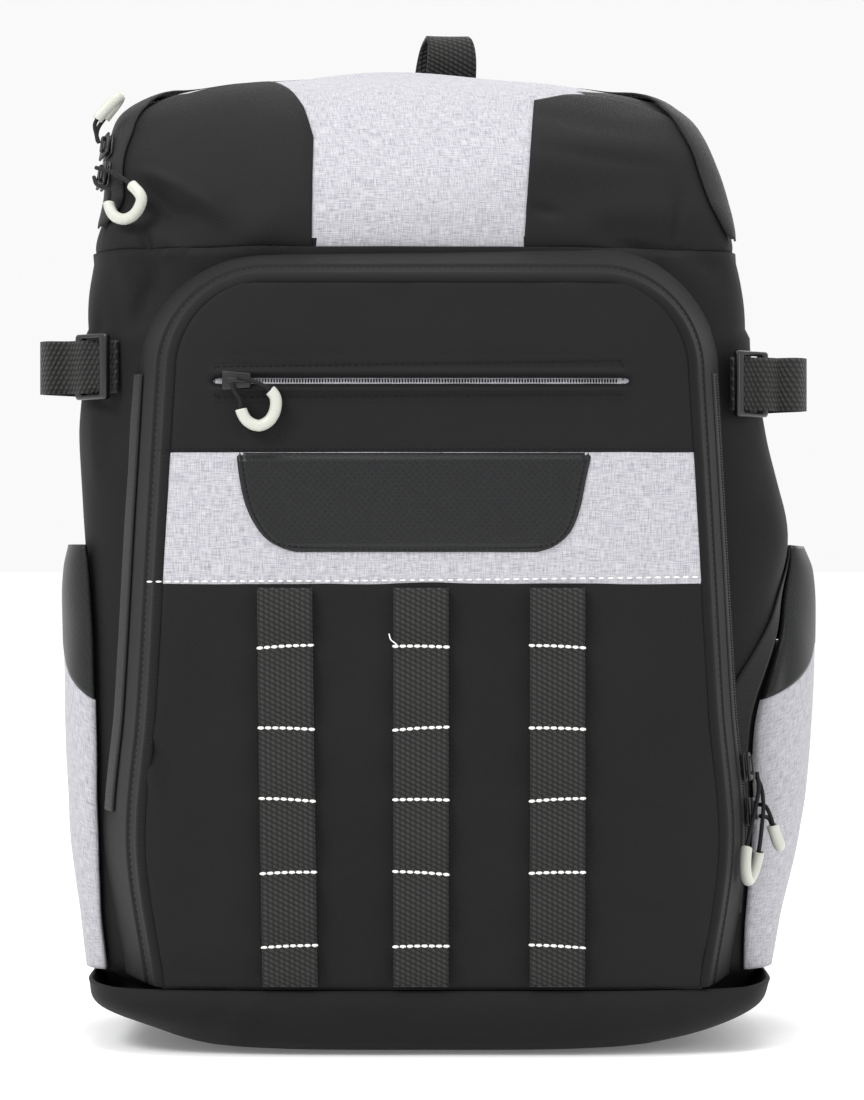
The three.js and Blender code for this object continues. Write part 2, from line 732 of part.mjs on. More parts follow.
function pocketZips() {
  for (const [name, side, low] of [['left', -1, LEFT_ZIP_END], ['right', 1, RIGHT_ZIP_END]]) {
    const strip = gussetStrip(side, low, PANEL_TOP - PANEL_CORNER,
      ZIP_NEAR, ZIP_FAR, SEAM + TRIM);
    add(`pocket_zip_${name}`, cut(strip, bodyClear.add(gussetClear)), 'zip');
  }
}

// A frame with straight sides and round lower corners, hanging from a level line
function patchShape() {
  const shape = new THREE.Shape();
  const foot = PATCH_FOOT_HALF - PATCH_CORNER;
  shape.moveTo(PATCH_SHIFT - PATCH_HALF, BAND_HIGH - SEAM);
  shape.lineTo(PATCH_SHIFT - PATCH_FOOT_HALF - PATCH_CORNER / 3, PATCH_LOW + PATCH_CORNER);
  shape.quadraticCurveTo(PATCH_SHIFT - PATCH_FOOT_HALF, PATCH_LOW, PATCH_SHIFT - foot, PATCH_LOW);
  shape.lineTo(PATCH_SHIFT + foot, PATCH_LOW);
  shape.quadraticCurveTo(PATCH_SHIFT + PATCH_FOOT_HALF, PATCH_LOW,
    PATCH_SHIFT + PATCH_FOOT_HALF + PATCH_CORNER / 3, PATCH_LOW + PATCH_CORNER);
  shape.lineTo(PATCH_SHIFT + PATCH_HALF, BAND_HIGH - SEAM);
  return shape;
}

function frame(halfLength, halfHeight, x, z) {
  const shape = new THREE.Shape();
  shape.moveTo(x - halfLength, z - halfHeight);
  shape.lineTo(x + halfLength, z - halfHeight);
  shape.lineTo(x + halfLength, z + halfHeight);
  shape.lineTo(x - halfLength, z + halfHeight);
  return shape;
}

const faceClear = toManifold(faceSlab(-POCKET_DEPTH / 2, SEAM));

function frontPanels() {
  const cloth = toManifold(faceSlab(-CLOTH, 0));
  const window = frontPrism(frame(WINDOW_LENGTH / 2, WINDOW_HEIGHT / 2, WINDOW_SHIFT, WINDOW_LEVEL));
  const upper = cloth.intersect(panelShape(BAND_HIGH + SEAM / 2, PANEL_TOP)).subtract(window);
  add('front_panel_upper', fromManifold(upper), 'blackCloth');
  const band = cloth.intersect(panelShape(BAND_LOW + SEAM / 2, BAND_HIGH - SEAM / 2));
  add('front_band', fromManifold(band), 'greyCloth');
  const lower = cloth.intersect(panelShape(BOOT_HEIGHT + SEAM, BAND_LOW - SEAM / 2));
  add('front_panel_lower', fromManifold(lower), 'blackCloth');
  const patch = toManifold(faceSlab(-CLOTH, SEAM + TRIM)).subtract(faceClear).intersect(frontPrism(patchShape()));
  add('leather_patch', fromManifold(patch), 'leather');
  const inset = WINDOW_TAPE_LAP;
  const opening = frame(WINDOW_LENGTH / 2 - inset, WINDOW_HEIGHT / 2 - inset, WINDOW_SHIFT, WINDOW_LEVEL);
  const tape = toManifold(faceSlab(-CLOTH, -CLOTH / 3)).intersect(frontPrism(opening));
  add('window_zip', fromManifold(tape), 'zip');
}

// Webbing laddered down the front: heights of the bar tacks as shares of the lower panel
const TACK_SHARES = [1, 0.853, 0.648, 0.470, 0.287, 0.102, 0];

function daisyChains() {
  const top = BAND_LOW - SEAM;
  const foot = BOOT_HEIGHT + CLOTH;
  const loops = TACK_SHARES.length - 1;
  ['left', 'centre', 'right'].forEach((name, k) => {
    const x = CHAIN_SHIFT + (k - 1) * CHAIN_PITCH;
    const geometry = slab(1, loops * CHAIN_STEPS, (i, j, side) => {
      const loop = Math.min(Math.floor(j * loops), loops - 1);
      const share = j * loops - loop;
      const z = lerp(foot, top, lerp(TACK_SHARES[loop], TACK_SHARES[loop + 1], share));
      const bulge = CHAIN_BULGE * Math.sin(Math.PI * share) ** CHAIN_BOW;
      const low = bulge > SEAM ? SEAM + bulge : -TRIM;
      return lifted(facePoint, x + (i - 0.5) * WEBBING, z, side ? SEAM + WEBBING_THICK + bulge : low);
    });
    add(`daisy_chain_${name}`, cut(geometry, faceClear), 'webbing');
  });
}

// Side pockets: a slack sheet standing off the body, open at its mouth, with a darker trim there.
// rise: share of the way up; bulge: share of the fullness; front: the edge's turn from the corner
const SIDE_POCKET_ROWS = tableOf('rise bulge left right', [
  [0.00, 0.20, 0.10, 0.07], [0.10, 0.40, 0.11, 0.07], [0.30, 0.75, 0.12, 0.08],
  [0.62, 0.95, 0.13, 0.09], [0.86, 1.00, 0.15, 0.28], [0.95, 0.85, 0.16, 0.36], [1.00, 0.55, 0.17, 0.40],
]);
const SIDE_BACK_TURN = 0.86;

function sidePocketPoint(side, share, z, out) {
  const rise = (z - POCKET_FOOT) / (POCKET_MOUTH - POCKET_FOOT);
  const name = side < 0 ? 'left' : 'right';
  const turn = lerp(along(SIDE_POCKET_ROWS, 'rise', name, rise), SIDE_BACK_TURN, share);
  const fullness = (side < 0 ? LEFT_BULGE : RIGHT_BULGE) * along(SIDE_POCKET_ROWS, 'rise', 'bulge', rise);
  const bulge = fullness * Math.sin(Math.PI * clamp(share, 0, 1)) ** POCKET_BOW;
  return bodyPoint(side < 0 ? -turn : 1 + turn, levelAt(z), bulge + out);
}

function sidePockets() {
  for (const [name, side] of [['left', -1], ['right', 1]]) {
    const join = (share) => lerp(TRIM_FRONT, TRIM_BACK, Math.min(share / TRIM_KINK, 1));
    const sheet = (low, high, lines, thick) => slab(9, lines, (i, j, face) => sidePocketPoint(
      side, i, lerp(low(i), high(i), j), face ? SEAM + thick : SEAM));
    const pocket = sheet(() => POCKET_FOOT, (share) => join(share) - SEAM, 5, CLOTH);
    add(`side_pocket_${name}`, cut(pocket, bodyClear.add(gussetClear)), 'greyCloth');
    const trim = sheet(join, () => POCKET_MOUTH, 3, CLOTH);
    add(`side_trim_${name}`, cut(trim, bodyClear.add(gussetClear)), 'leather');
  }
  const zip = slab(1, 9, (i, j, face) => sidePocketPoint(
    1, lerp(SIDE_ZIP_FAR, SIDE_ZIP_NEAR, i), lerp(SIDE_ZIP_END, POCKET_MOUTH, j), face ? SEAM + TRIM : -TRIM));
  add('side_zip', cut(zip, bodyClear.add(gussetClear)), 'zip');
}

// A flat strap: its centre line and the direction of its width at each end
function ribbon(centres, sideFrom, sideTo, width, thick, steps) {
  const line = new THREE.CatmullRomCurve3(centres, false, 'centripetal');
  return slab(1, steps, (i, j, face) => {
    const side = sideFrom.clone().lerp(sideTo, j ** 3).normalize();
    const normal = line.getTangentAt(j).cross(side).normalize();
    return line.getPointAt(j)
      .addScaledVector(side, (i - 0.5) * width)
      .addScaledVector(normal, (face - 0.5) * thick);
  });
}

const vector = (x, y, z) => new THREE.Vector3(x, y, z);

// Haul loop: webbing folded over on itself, both ends in the seam at the top of the back.
// aside: share of the webbing's width; back: share of HAUL_GAP behind the body's back;
// rise: share of HAUL_RISE above the hood
const HAUL_ROWS = tableOf('aside back rise', [
  [0.36, -0.80, -0.483], [0.40, -1.00, 0.450], [0.36, -0.85, 0.800], [0.28, -0.50, 0.933],
  [0.16, 0.05, 0.700], [0.12, 0.10, -0.483], [0.12, 0.075, -1.383],
]);

function haulLoop() {
  const back = BODY_MIDDLE + BODY_DEPTH / 2;
  const line = HAUL_ROWS.map((row) => vector(
    row.aside * WEBBING, back + row.back * HAUL_GAP, HEIGHT + row.rise * HAUL_RISE));
  const strap = ribbon(line, vector(1, 0.1, 0), vector(1, 0, 0), WEBBING, WEBBING_THICK, 18);
  add('haul_loop', cut(strap, bodyClear), 'webbing');
}

// Padded shoulder straps. fall: share of the way down; aside: how far out from the middle,
// as a share of the spread; away: share of the reach behind the back pad; width: share of the width
const SHOULDER_ROWS = tableOf('fall aside away width', [
  [0.00, 1.00, -0.42, 0.86], [0.06, 1.00, 0.06, 0.92], [0.20, 1.04, 0.78, 1.00], [0.40, 1.22, 1.00, 1.00],
  [0.62, 1.62, 0.98, 0.95], [0.82, 2.02, 0.72, 0.84], [1.00, 2.30, 0.40, 0.66],
]);

function shoulderCentre(side, fall) {
  const column = (name) => along(SHOULDER_ROWS, 'fall', name, fall);
  const back = BODY_MIDDLE + BODY_DEPTH / 2 + BACK_PAD + SHOULDER_PAD / 2 + 2 * SEAM;
  return vector(side * column('aside') * SHOULDER_SPREAD, back + column('away') * SHOULDER_REACH,
    lerp(SHOULDER_TOP, SHOULDER_FOOT, fall));
}

function shoulderStraps() {
  for (const [name, side] of [['left', -1], ['right', 1]]) {
    const steps = 12;
    const strap = slab(4, steps, (i, j, face) => {
      const ahead = shoulderCentre(side, Math.min(j + TINY, 1)).sub(shoulderCentre(side, Math.max(j - TINY, 0)));
      const width = SHOULDER_WIDTH * along(SHOULDER_ROWS, 'fall', 'width', j);
      const across = ahead.clone().cross(vector(0, 1, 0)).normalize();
      const normal = across.clone().cross(ahead).normalize();
      const rim = i === 0 || i === 1 || j === 0 || j === 1 ? 0.5 : 1;
      return shoulderCentre(side, j).addScaledVector(across, (i - 0.5) * width)
        .addScaledVector(normal, (face - 0.5) * SHOULDER_PAD * rim);
    });
    add(`shoulder_strap_${name}`, cut(strap, backClear), 'mesh');
  }
}

// A ladder lock: a plastic frame with one window, made about its own middle and then placed
function ladderLock(name, centre, ahead, up) {
  const body = toManifold(new THREE.BoxGeometry(LOCK_WIDTH, LOCK_THICK, LOCK_HEIGHT));
  const window = toManifold(new THREE.BoxGeometry(
    LOCK_WIDTH - 2 * LOCK_BAR, 2 * LOCK_THICK, WEBBING + 4 * SEAM));
  const lock = add(name, fromManifold(body.subtract(window)), 'plastic');
  lock.setRotationFromMatrix(new THREE.Matrix4().makeBasis(ahead, up.clone().cross(ahead).normalize(), up));
  lock.position.copy(centre);
}

// Side straps. Each runs under one bar of its ladder lock, up through the window, over the other
// bar, out to the side and back to the body. ahead: along the body towards the side of the pack,
// as a share of the lock's width; out: off the cloth, in strap thicknesses
const STRAP_ROWS = tableOf('ahead out', [
  [-0.55, 0.70], [-0.26, 0.70], [0.00, 2.40], [0.23, 4.60], [0.62, 4.80],
]);

// The loop that each side strap makes on its way back. aside: share of STRAP_REACH outside the body's edge;
// back: share of STRAP_RUN behind the lock
const LOOP_ROWS = tableOf('aside back', [
  [0.737, 0.067], [1.000, 0.233], [0.790, 0.433], [0.263, 0.733], [0.084, 1.000],
]);

// How far the faceted body, with its clearance, stands above a seat under a ladder lock
function heightUnder(seat, ahead, out) {
  const foot = new THREE.BoxGeometry(LOCK_WIDTH, 2 * LOCK_WIDTH, LOCK_HEIGHT);
  foot.applyMatrix4(new THREE.Matrix4().makeBasis(ahead, out, ahead.clone().cross(out)).setPosition(seat));
  const place = fromManifold(bodyClear.intersect(toManifold(foot))).getAttribute('position');
  const points = Array.from({ length: place.count }, (_, i) => vector(place.getX(i), place.getY(i), place.getZ(i)));
  return Math.max(...points.map((point) => point.sub(seat).dot(out)));
}

function sideStraps() {
  for (const [name, side, z] of [['left', -1, STRAP_LEVEL_LEFT], ['right', 1, STRAP_LEVEL_RIGHT]]) {
    const turn = side < 0 ? -LOCK_TURN : 1 + LOCK_TURN;
    const seat = bodyPoint(turn, levelAt(z));
    const chord = bodyPoint(turn + side * LOCK_SPAN, levelAt(z)).sub(bodyPoint(turn - side * LOCK_SPAN, levelAt(z)));
    const ahead = chord.setZ(0).normalize();
    const out = ahead.clone().cross(vector(0, 0, side)).normalize();
    const bow = heightUnder(seat, ahead, out);
    const line = STRAP_ROWS.map((row) => seat.clone()
      .addScaledVector(ahead, row.ahead * LOCK_WIDTH)
      .addScaledVector(out, bow + row.out * WEBBING_THICK));
    const edge = bodyPoint(side < 0 ? -0.5 : 1.5, levelAt(z));
    line.push(...LOOP_ROWS.map((row) => vector(
      edge.x + side * row.aside * STRAP_REACH, seat.y + row.back * STRAP_RUN, z)));
    const strap = ribbon(line, vector(0, 0, 1), vector(0, 0, 1), WEBBING, WEBBING_THICK, 20);
    add(`side_strap_${name}`, cut(strap, bodyClear), 'webbing');
    const centre = seat.clone().addScaledVector(out, bow + LOCK_RISE * WEBBING_THICK);
    const facing = side < 0 ? ahead.clone().negate() : ahead;
    ladderLock(`ladder_lock_${name}`, centre, facing, vector(0, 0, 1));
  }
}

// The webbing below each shoulder strap, through its ladder lock and down to the foot of the body
function shoulderWebbing() {
  for (const [name, side] of [['left', -1], ['right', 1]]) {
    const end = shoulderCentre(side, 1);
    const ahead = end.clone().sub(shoulderCentre(side, STRAP_END)).normalize();
    const across = ahead.clone().cross(vector(0, 1, 0)).normalize();
    const out = across.clone().cross(ahead).normalize();
    const under = -SHOULDER_PAD / 2 - SEAM - WEBBING_THICK / 2;
    const seat = end.clone().addScaledVector(ahead, LOCK_WIDTH / 2 + 1).addScaledVector(out, under);
    const first = STRAP_ROWS[0].out;
    const place = (row) => seat.clone().addScaledVector(ahead, row.ahead * LOCK_WIDTH)
      .addScaledVector(out, (row.out - first) * WEBBING_THICK);
    const turn = side < 0 ? 3 - FOOT_TURN : 2 + FOOT_TURN;
    const foot = bodyPoint(turn, levelAt(WEB_FOOT), WEBBING_THICK / 4);
    const heel = bodyPoint(turn, levelAt(WEB_FOOT + WEBBING), SEAM + 3 * WEBBING_THICK);
    const line = [
      seat.clone().addScaledVector(ahead, -WEB_TUCK * LOCK_WIDTH),
      ...STRAP_ROWS.map(place),
      place(STRAP_ROWS.at(-1)).lerp(heel, WEB_BOW_SHARE).add(vector(side * WEB_BOW_ASIDE, WEB_BOW_BACK, 0)),
      heel, foot,
    ];
    const tangent = bodyPoint(turn + FOOT_SPAN, levelAt(WEB_FOOT))
      .sub(bodyPoint(turn - FOOT_SPAN, levelAt(WEB_FOOT)));
    const towards = tangent.normalize().multiplyScalar(Math.sign(tangent.dot(across)) || 1);
    const webbing = ribbon(line, across, towards, WEBBING, WEBBING_THICK, 28);
    add(`shoulder_webbing_${name}`, cut(webbing, bodyClear), 'webbing');
    const centre = seat.clone().addScaledVector(out, (LOCK_RISE - first) * WEBBING_THICK);
    ladderLock(`shoulder_lock_${name}`, centre, ahead, across.clone().negate());
  }
}

// Zip sliders: a short wedge, seated on its zip
function slider(name, centre, ahead, out) {
  const shape = new THREE.Shape();
  const half = SLIDER_WIDTH / 2;
  const long = SLIDER_LENGTH / 2;
  shape.moveTo(-long, -half * SLIDER_TAIL);
  shape.lineTo(long * SLIDER_NOSE, -half);
  shape.quadraticCurveTo(long, -half, long, 0);
  shape.quadraticCurveTo(long, half, long * SLIDER_NOSE, half);
  shape.lineTo(-long, half * SLIDER_TAIL);
  const geometry = new THREE.ExtrudeGeometry(shape, { depth: SLIDER_THICK, bevelEnabled: false, curveSegments: 3 });
  const mesh = add(name, geometry, 'plastic');
  const across = out.clone().cross(ahead).normalize();
  mesh.setRotationFromMatrix(new THREE.Matrix4().makeBasis(ahead, across, out));
  mesh.position.copy(centre);
}

// Place and directions on a surface beside a path, for what is seated there
function seatOn(surface, u, v, du, dv, out) {
  const point = surface(u, v, out);
  const ahead = surface(u + du, v + dv, out).sub(point).normalize();
  const normal = surface(u, v, out + 1).sub(point).normalize();
  ahead.addScaledVector(normal, -ahead.dot(normal)).normalize();
  return [point, ahead, normal];
}

// Height of a slider's seat over the cloth that carries its zip
const onZip = TRIM + 3 * SEAM;
const facePlace = (x, z, out) => lifted(facePoint, x, z, out);

function sliders() {
  const windowSeat = seatOn(facePlace, WINDOW_SHIFT - WINDOW_LENGTH / 2
    + SLIDER_LENGTH * WINDOW_SLIDER_INSET, WINDOW_LEVEL, -1, 0, SEAM - CLOTH / 3);
  slider('slider_window', ...windowSeat);
  const zipMiddle = (ZIP_NEAR + ZIP_FAR) / 2;
  const shareAt = (z) => 1 - (z - BOOT_HEIGHT - SEAM) / (POCKET_GIRTH / 2);
  [POCKET_SLIDER_HIGH, POCKET_SLIDER_LOW].forEach((z, k) => {
    slider(`slider_pocket_${k + 1}`, ...seatOn(gussetPoint, shareAt(z), zipMiddle, 2 * TINY, 0, onZip));
  });
  const placeAt = (step) => bodyPoint(...zipPath(step));
  let second = MAIN_SLIDER_STEP;
  while (placeAt(second).distanceTo(placeAt(MAIN_SLIDER_STEP)) < SLIDER_LENGTH + MAIN_SLIDER_GAP) second += TINY;
  [MAIN_SLIDER_STEP, second].forEach((step, k) => {
    const [turn, level] = zipPath(step);
    const [turnNext, levelNext] = zipPath(step + TINY);
    slider(`slider_main_${k + 1}`, ...seatOn(bodyPoint, turn, level, turnNext - turn, levelNext - level, onZip));
  });
}

// Pull cords. Each is one loop of cord from its slider, through its tube and back to the slider.
// The points are chosen by hand; the tube covers the steps of the cord from the first number to the second
const CORD_ROUTES = [
  {
    name: 'main_1',
    tube: [3, 11],
    points: [
      [-159.4, -9.6, 425.2], [-160.8, -8.8, 429.8], [-161.4, -8.0, 434.6], [-156.6, -7.4, 441.3],
      [-151.9, -5.6, 446.4], [-150.2, -2.2, 447.8], [-151.4, 1.2, 446.2], [-155.9, 2.6, 440.6],
      [-160.7, 2.6, 433.8], [-161.2, -0.6, 429.6], [-160.4, -4.8, 426.6],
    ],
  },
  {
    name: 'main_2',
    tube: [4, 10],
    points: [
      [-161.2, -15.6, 408.2], [-159.0, -24.0, 404.0], [-152.9, -31.2, 400.5], [-152.6, -33.4, 393.6],
      [-149.6, -37.4, 388.0], [-144.4, -41.0, 386.2], [-139.2, -43.8, 388.8], [-136.3, -45.2, 395.5],
      [-140.6, -42.0, 401.6], [-149.6, -33.4, 408.2], [-160.0, -17.6, 412.6],
    ],
  },
  {
    name: 'window',
    tube: [3, 11],
    points: [
      [-91.0, -103.2, 306.4], [-89.8, -103.2, 303.0], [-87.4, -103.0, 299.2], [-86.6, -102.8, 294.2],
      [-83.9, -102.8, 289.6], [-78.8, -102.8, 287.4], [-73.8, -102.9, 289.8], [-71.1, -103.0, 295.2],
      [-71.4, -103.2, 300.8], [-75.6, -103.8, 305.0], [-82.4, -104.0, 307.9], [-88.6, -103.4, 309.6],
    ],
  },
  {
    name: 'pocket_1',
    tube: [5, 10],
    points: [
      [151.4, -57.5, 127.0], [152.0, -60.5, 120.0], [150.5, -63.4, 112.0],
      [148.0, -66.0, 102.0], [145.5, -70.5, 92.4], [144.8, -72.6, 85.4], [145.5, -69.4, 79.8],
      [146.9, -64.6, 77.4], [149.0, -60.8, 79.8], [151.0, -60.0, 85.4], [152.2, -61.4, 92.0],
      [153.2, -63.2, 102.0], [154.0, -62.4, 112.0], [153.4, -58.6, 120.0],
      [151.6, -54.8, 124.6],
    ],
  },
  {
    name: 'pocket_2',
    tube: [4, 12],
    points: [
      [152.6, -56.4, 112.0], [155.4, -59.6, 111.2], [157.6, -61.0, 106.4], [159.4, -61.2, 99.6],
      [161.4, -58.8, 94.4], [162.2, -54.0, 92.6], [161.6, -49.4, 94.4], [160.0, -47.6, 99.6],
      [157.6, -49.4, 105.0], [153.2, -53.8, 106.4],
    ],
  },
];

// One stretch of a longer curve
class Stretch extends THREE.Curve {
  constructor(whole, from, to) {
    super();
    this.whole = whole;
    this.from = from;
    this.to = to;
  }

  getPoint(share, target = new THREE.Vector3()) {
    return target.copy(this.whole.getPointAt(lerp(this.from, this.to, share)));
  }
}

function ringShape(across, bore = 0) {
  const shape = new THREE.Shape();
  shape.absarc(0, 0, across / 2, 0, Math.PI * 2);
  if (bore > 0) {
    const hole = new THREE.Path();
    hole.absarc(0, 0, bore / 2, 0, Math.PI * 2);
    shape.holes.push(hole);
  }
  return shape;
}

function pulls() {
  for (const route of CORD_ROUTES) {
    const curve = new THREE.CatmullRomCurve3(route.points.map((point) => vector(...point)), false, 'centripetal');
    const cord = { steps: CORD_STEPS, extrudePath: curve, bevelEnabled: false, curveSegments: 4 };
    add(`pull_cord_${route.name}`, new THREE.ExtrudeGeometry(ringShape(CORD), cord), 'webbing');
    const [from, to] = route.tube;
    const covered = new Stretch(curve, from / CORD_STEPS, to / CORD_STEPS);
    const tube = { steps: to - from, extrudePath: covered, bevelEnabled: false, curveSegments: 4 };
    add(`pull_tube_${route.name}`, new THREE.ExtrudeGeometry(ringShape(TUBE, TUBE_BORE), tube), 'rubber');
  }
}

boot();
mainBody();
hood();
hoodPanels();
mainZip();
backPanel();
pocketGusset();
pocketZips();
frontPanels();
daisyChains();
sidePockets();
sideStraps();
haulLoop();
shoulderStraps();
shoulderWebbing();
sliders();
pulls();

export default pack;
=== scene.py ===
# %% [markdown]
# # A baseball bat backpack
#
# The pack is built as the real one is: cuts of cloth, webbing and leather over a shape. The solid model gives the
# shape as a fixed frame, and each cloth, strap, zip and buckle is made over it in detail. All of it could be
# sculpted by eye, but then no piece would meet its neighbour, and the looks would leave the solid they stand for.
# Lengths in the tables are millimetres, as in the model, and Blender's own coordinates are metres. X runs to the
# right as the front pocket is looked at, Y from the front pocket to the wearer's back, Z up.

# %% Load the frame
import json
import math

import bmesh
import bpy
import numpy as np
from mathutils import Matrix, Vector

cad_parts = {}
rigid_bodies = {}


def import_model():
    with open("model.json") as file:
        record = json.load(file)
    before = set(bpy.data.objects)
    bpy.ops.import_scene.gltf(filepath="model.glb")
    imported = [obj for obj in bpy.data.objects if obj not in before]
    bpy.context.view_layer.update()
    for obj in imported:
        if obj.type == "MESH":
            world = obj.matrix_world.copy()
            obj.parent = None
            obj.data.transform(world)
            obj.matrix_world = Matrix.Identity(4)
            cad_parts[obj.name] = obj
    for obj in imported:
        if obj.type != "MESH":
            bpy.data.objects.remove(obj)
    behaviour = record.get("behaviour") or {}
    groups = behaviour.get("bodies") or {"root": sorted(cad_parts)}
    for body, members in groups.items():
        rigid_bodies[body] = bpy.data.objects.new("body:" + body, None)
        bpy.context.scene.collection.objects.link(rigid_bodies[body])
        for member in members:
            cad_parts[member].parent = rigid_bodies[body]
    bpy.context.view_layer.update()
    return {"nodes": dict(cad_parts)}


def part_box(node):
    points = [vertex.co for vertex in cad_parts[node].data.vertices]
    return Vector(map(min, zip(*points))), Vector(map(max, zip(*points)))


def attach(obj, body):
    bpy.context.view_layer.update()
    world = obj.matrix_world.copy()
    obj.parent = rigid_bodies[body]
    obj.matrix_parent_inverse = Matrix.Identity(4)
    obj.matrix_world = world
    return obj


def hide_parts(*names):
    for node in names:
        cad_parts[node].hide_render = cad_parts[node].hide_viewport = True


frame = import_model()
print("nodes in the frame:", len(frame["nodes"]))

# %% [markdown]
# ## Camera and light
#
# A shop's picture of a backpack is taken level, from a little way off, in a white room. The camera stands at the
# pack's middle height, and its lens is worked out from the height that has to be in view, so that nothing has to be
# tried out. Black cloth shows its form only by what it reflects: four area lights draw the folds from four sides,
# and a white surround fills the rest. A sun would be simpler, but its hard shadows belong to a street.

# %% Camera and light
MM = 0.001
CAMERA_DISTANCE = 1.75
CAMERA_HEIGHT = 0.24
FRONT = -0.1
VIEW_TALL = 0.5005
VIEW_DROP = 20 / 1100

scene = bpy.context.scene
camera = bpy.data.objects.new("camera", bpy.data.cameras.new("camera"))
camera.location = (0, FRONT - CAMERA_DISTANCE, CAMERA_HEIGHT)
camera.rotation_euler = (math.radians(90), 0, 0)
camera.data.sensor_fit = "VERTICAL"
camera.data.sensor_height = 24
camera.data.lens = camera.data.sensor_height * CAMERA_DISTANCE / VIEW_TALL
camera.data.shift_y = -VIEW_DROP
scene.collection.objects.link(camera)
scene.camera = camera


def panel_light(name, place, target, size, watts):
    light = bpy.data.objects.new(name, bpy.data.lights.new(name, "AREA"))
    light.data.shape = "RECTANGLE"
    light.data.size, light.data.size_y = size
    light.data.energy = watts
    light.location = place
    light.rotation_euler = (Vector(target) - Vector(place)).to_track_quat("-Z", "Y").to_euler()
    scene.collection.objects.link(light)


# Name, place, target, size and watts
LIGHTS = [
    ("key", (-1.3, -1.3, 1.7), (0, 0, 0.2), (0.8, 0.8), 30),
    ("fill", (1.9, -1.2, 0.8), (0, 0, 0.2), (0.6, 1.4), 10),
    ("top", (0.1, -0.1, 2.2), (0, 0, 0.3), (1.2, 0.8), 16),
    ("rim", (0.6, 1.9, 1.4), (0, 0, 0.3), (1.2, 1.2), 10),
]
SURROUND = 0.95
for light in LIGHTS:
    panel_light(*light)

world = bpy.data.worlds.new("studio")
world.use_nodes = True
world.node_tree.nodes["Background"].inputs["Color"].default_value = (1, 1, 1, 1)
world.node_tree.nodes["Background"].inputs["Strength"].default_value = SURROUND
scene.world = world
scene.view_settings.view_transform = "Standard"
print(f"camera: lens {camera.data.lens:.0f} mm, lights: {len(LIGHTS)}")

# %% [markdown]
# ## Sizes and tables
#
# The real pack is cut from patterns. Its sizes here are those of the solid model, so that every surface lies where
# its solid does. Each form is a table with one row for a section at some height, and `along` reads a smooth value
# between two rows. Sculpting would be freer, but a row can be corrected by itself, and both models share it.

# %% Sizes and tables
HEIGHT, HALF_WIDTH, BODY_DEPTH, BODY_MIDDLE = 466, 165, 140, 20
BOOT_HEIGHT, BOOT_TUCK, TUCK_ROUNDING, HOOD_SEAM = 30, 20, 0.7, 372
PANEL_HALF, PANEL_TOP, PANEL_CORNER, POCKET_DEPTH, PANEL_FALL = 136, 358.5, 46, 51, 7
LEFT_FLARE, RIGHT_FLARE, LEFT_SEAT, RIGHT_SEAT, GUSSET_RISE = 24, 15, 34, 21, 20
BAND_LOW, BAND_HIGH = 214, 274
CLOTH, SEAM, WEBBING, WEBBING_THICK = 2, 0.3, 25, 1.6
TINY = 0.002


def table(names, rows):
    return {name: np.array(column, float) for name, column in zip(names.split(), zip(*rows))}


def along(rows, key, column, at):
    xs, ys = rows[key], rows[column]
    at = np.asarray(at, float)
    i = np.clip(np.searchsorted(xs, at, side="left") - 1, 0, len(xs) - 2)
    after = np.minimum(np.arange(len(xs)) + 1, len(xs) - 1)
    before = np.maximum(np.arange(len(xs)) - 1, 0)
    slope = (ys[after] - ys[before]) / (xs[after] - xs[before])
    span = xs[i + 1] - xs[i]
    t = np.clip((at - xs[i]) / span, 0, 1)
    ease = t * t * (3 - 2 * t)
    rise = t * (1 - t) ** 2 * slope[i] - t * t * (1 - t) * slope[i + 1]
    return ys[i] + (ys[i + 1] - ys[i]) * ease + rise * span


def lerp(a, b, t):
    return a + (b - a) * t


BOOT_ROWS = table("rise left right front back square", [
    [0.00, 0.60, 0.58, 0.50, 0.72, 4.0],
    [0.09, 0.69, 0.67, 0.76, 0.84, 4.4],
    [0.30, 0.80, 0.81, 0.90, 0.93, 4.7],
    [0.63, 0.95, 0.93, 0.98, 0.99, 4.9],
    [1.00, 0.980, 0.965, 1.00, 1.01, 5.0],
])
BODY_ROWS = table("rise left right front back square", [
    [0.08, 0.970, 0.955, 0.500, 0.500, 5.0],
    [0.17, 0.982, 0.960, 0.500, 0.500, 5.0],
    [0.33, 0.994, 0.985, 0.500, 0.500, 4.8],
    [0.55, 1.000, 1.006, 0.500, 0.500, 4.6],
    [0.65, 1.010, 1.030, 0.500, 0.500, 4.6],
    [0.77, 1.026, 0.984, 0.500, 0.500, 4.5],
    [0.87, 1.020, 0.935, 0.505, 0.498, 4.4],
    [0.94, 1.013, 0.920, 0.520, 0.494, 4.2],
    [1.00, 1.000, 0.894, 0.543, 0.488, 4.0],
])
HOOD_ROWS = table("step rise left right front back square", [
    [0.00, 0.000, 1.000, 0.894, 0.543, 0.488, 4.0],
    [0.18, 0.210, 0.968, 0.868, 0.500, 0.486, 3.9],
    [0.36, 0.430, 0.950, 0.836, 0.429, 0.482, 3.8],
    [0.52, 0.600, 0.940, 0.796, 0.343, 0.474, 3.7],
    [0.68, 0.745, 0.906, 0.732, 0.229, 0.457, 3.6],
    [0.82, 0.855, 0.800, 0.620, 0.100, 0.430, 3.4],
    [0.93, 0.935, 0.640, 0.380, -0.030, 0.385, 3.2],
    [1.00, 0.985, 0.380, 0.120, -0.140, 0.300, 3.0],
])
print("sections:", sum(len(rows["rise"]) for rows in (BOOT_ROWS, BODY_ROWS, HOOD_ROWS)))

# %% [markdown]
# ## Folds
#
# Slack twill creases where it is pulled, here mostly at the hood and beside the base. A simulation would crease the
# cloth somewhere else on every try. The folds seen in the photograph have fixed places, so each is a line with a
# width and a height, below zero where the cloth is drawn in. Soft noise from one fixed seed adds the small
# unevenness of cloth, the same on every run.

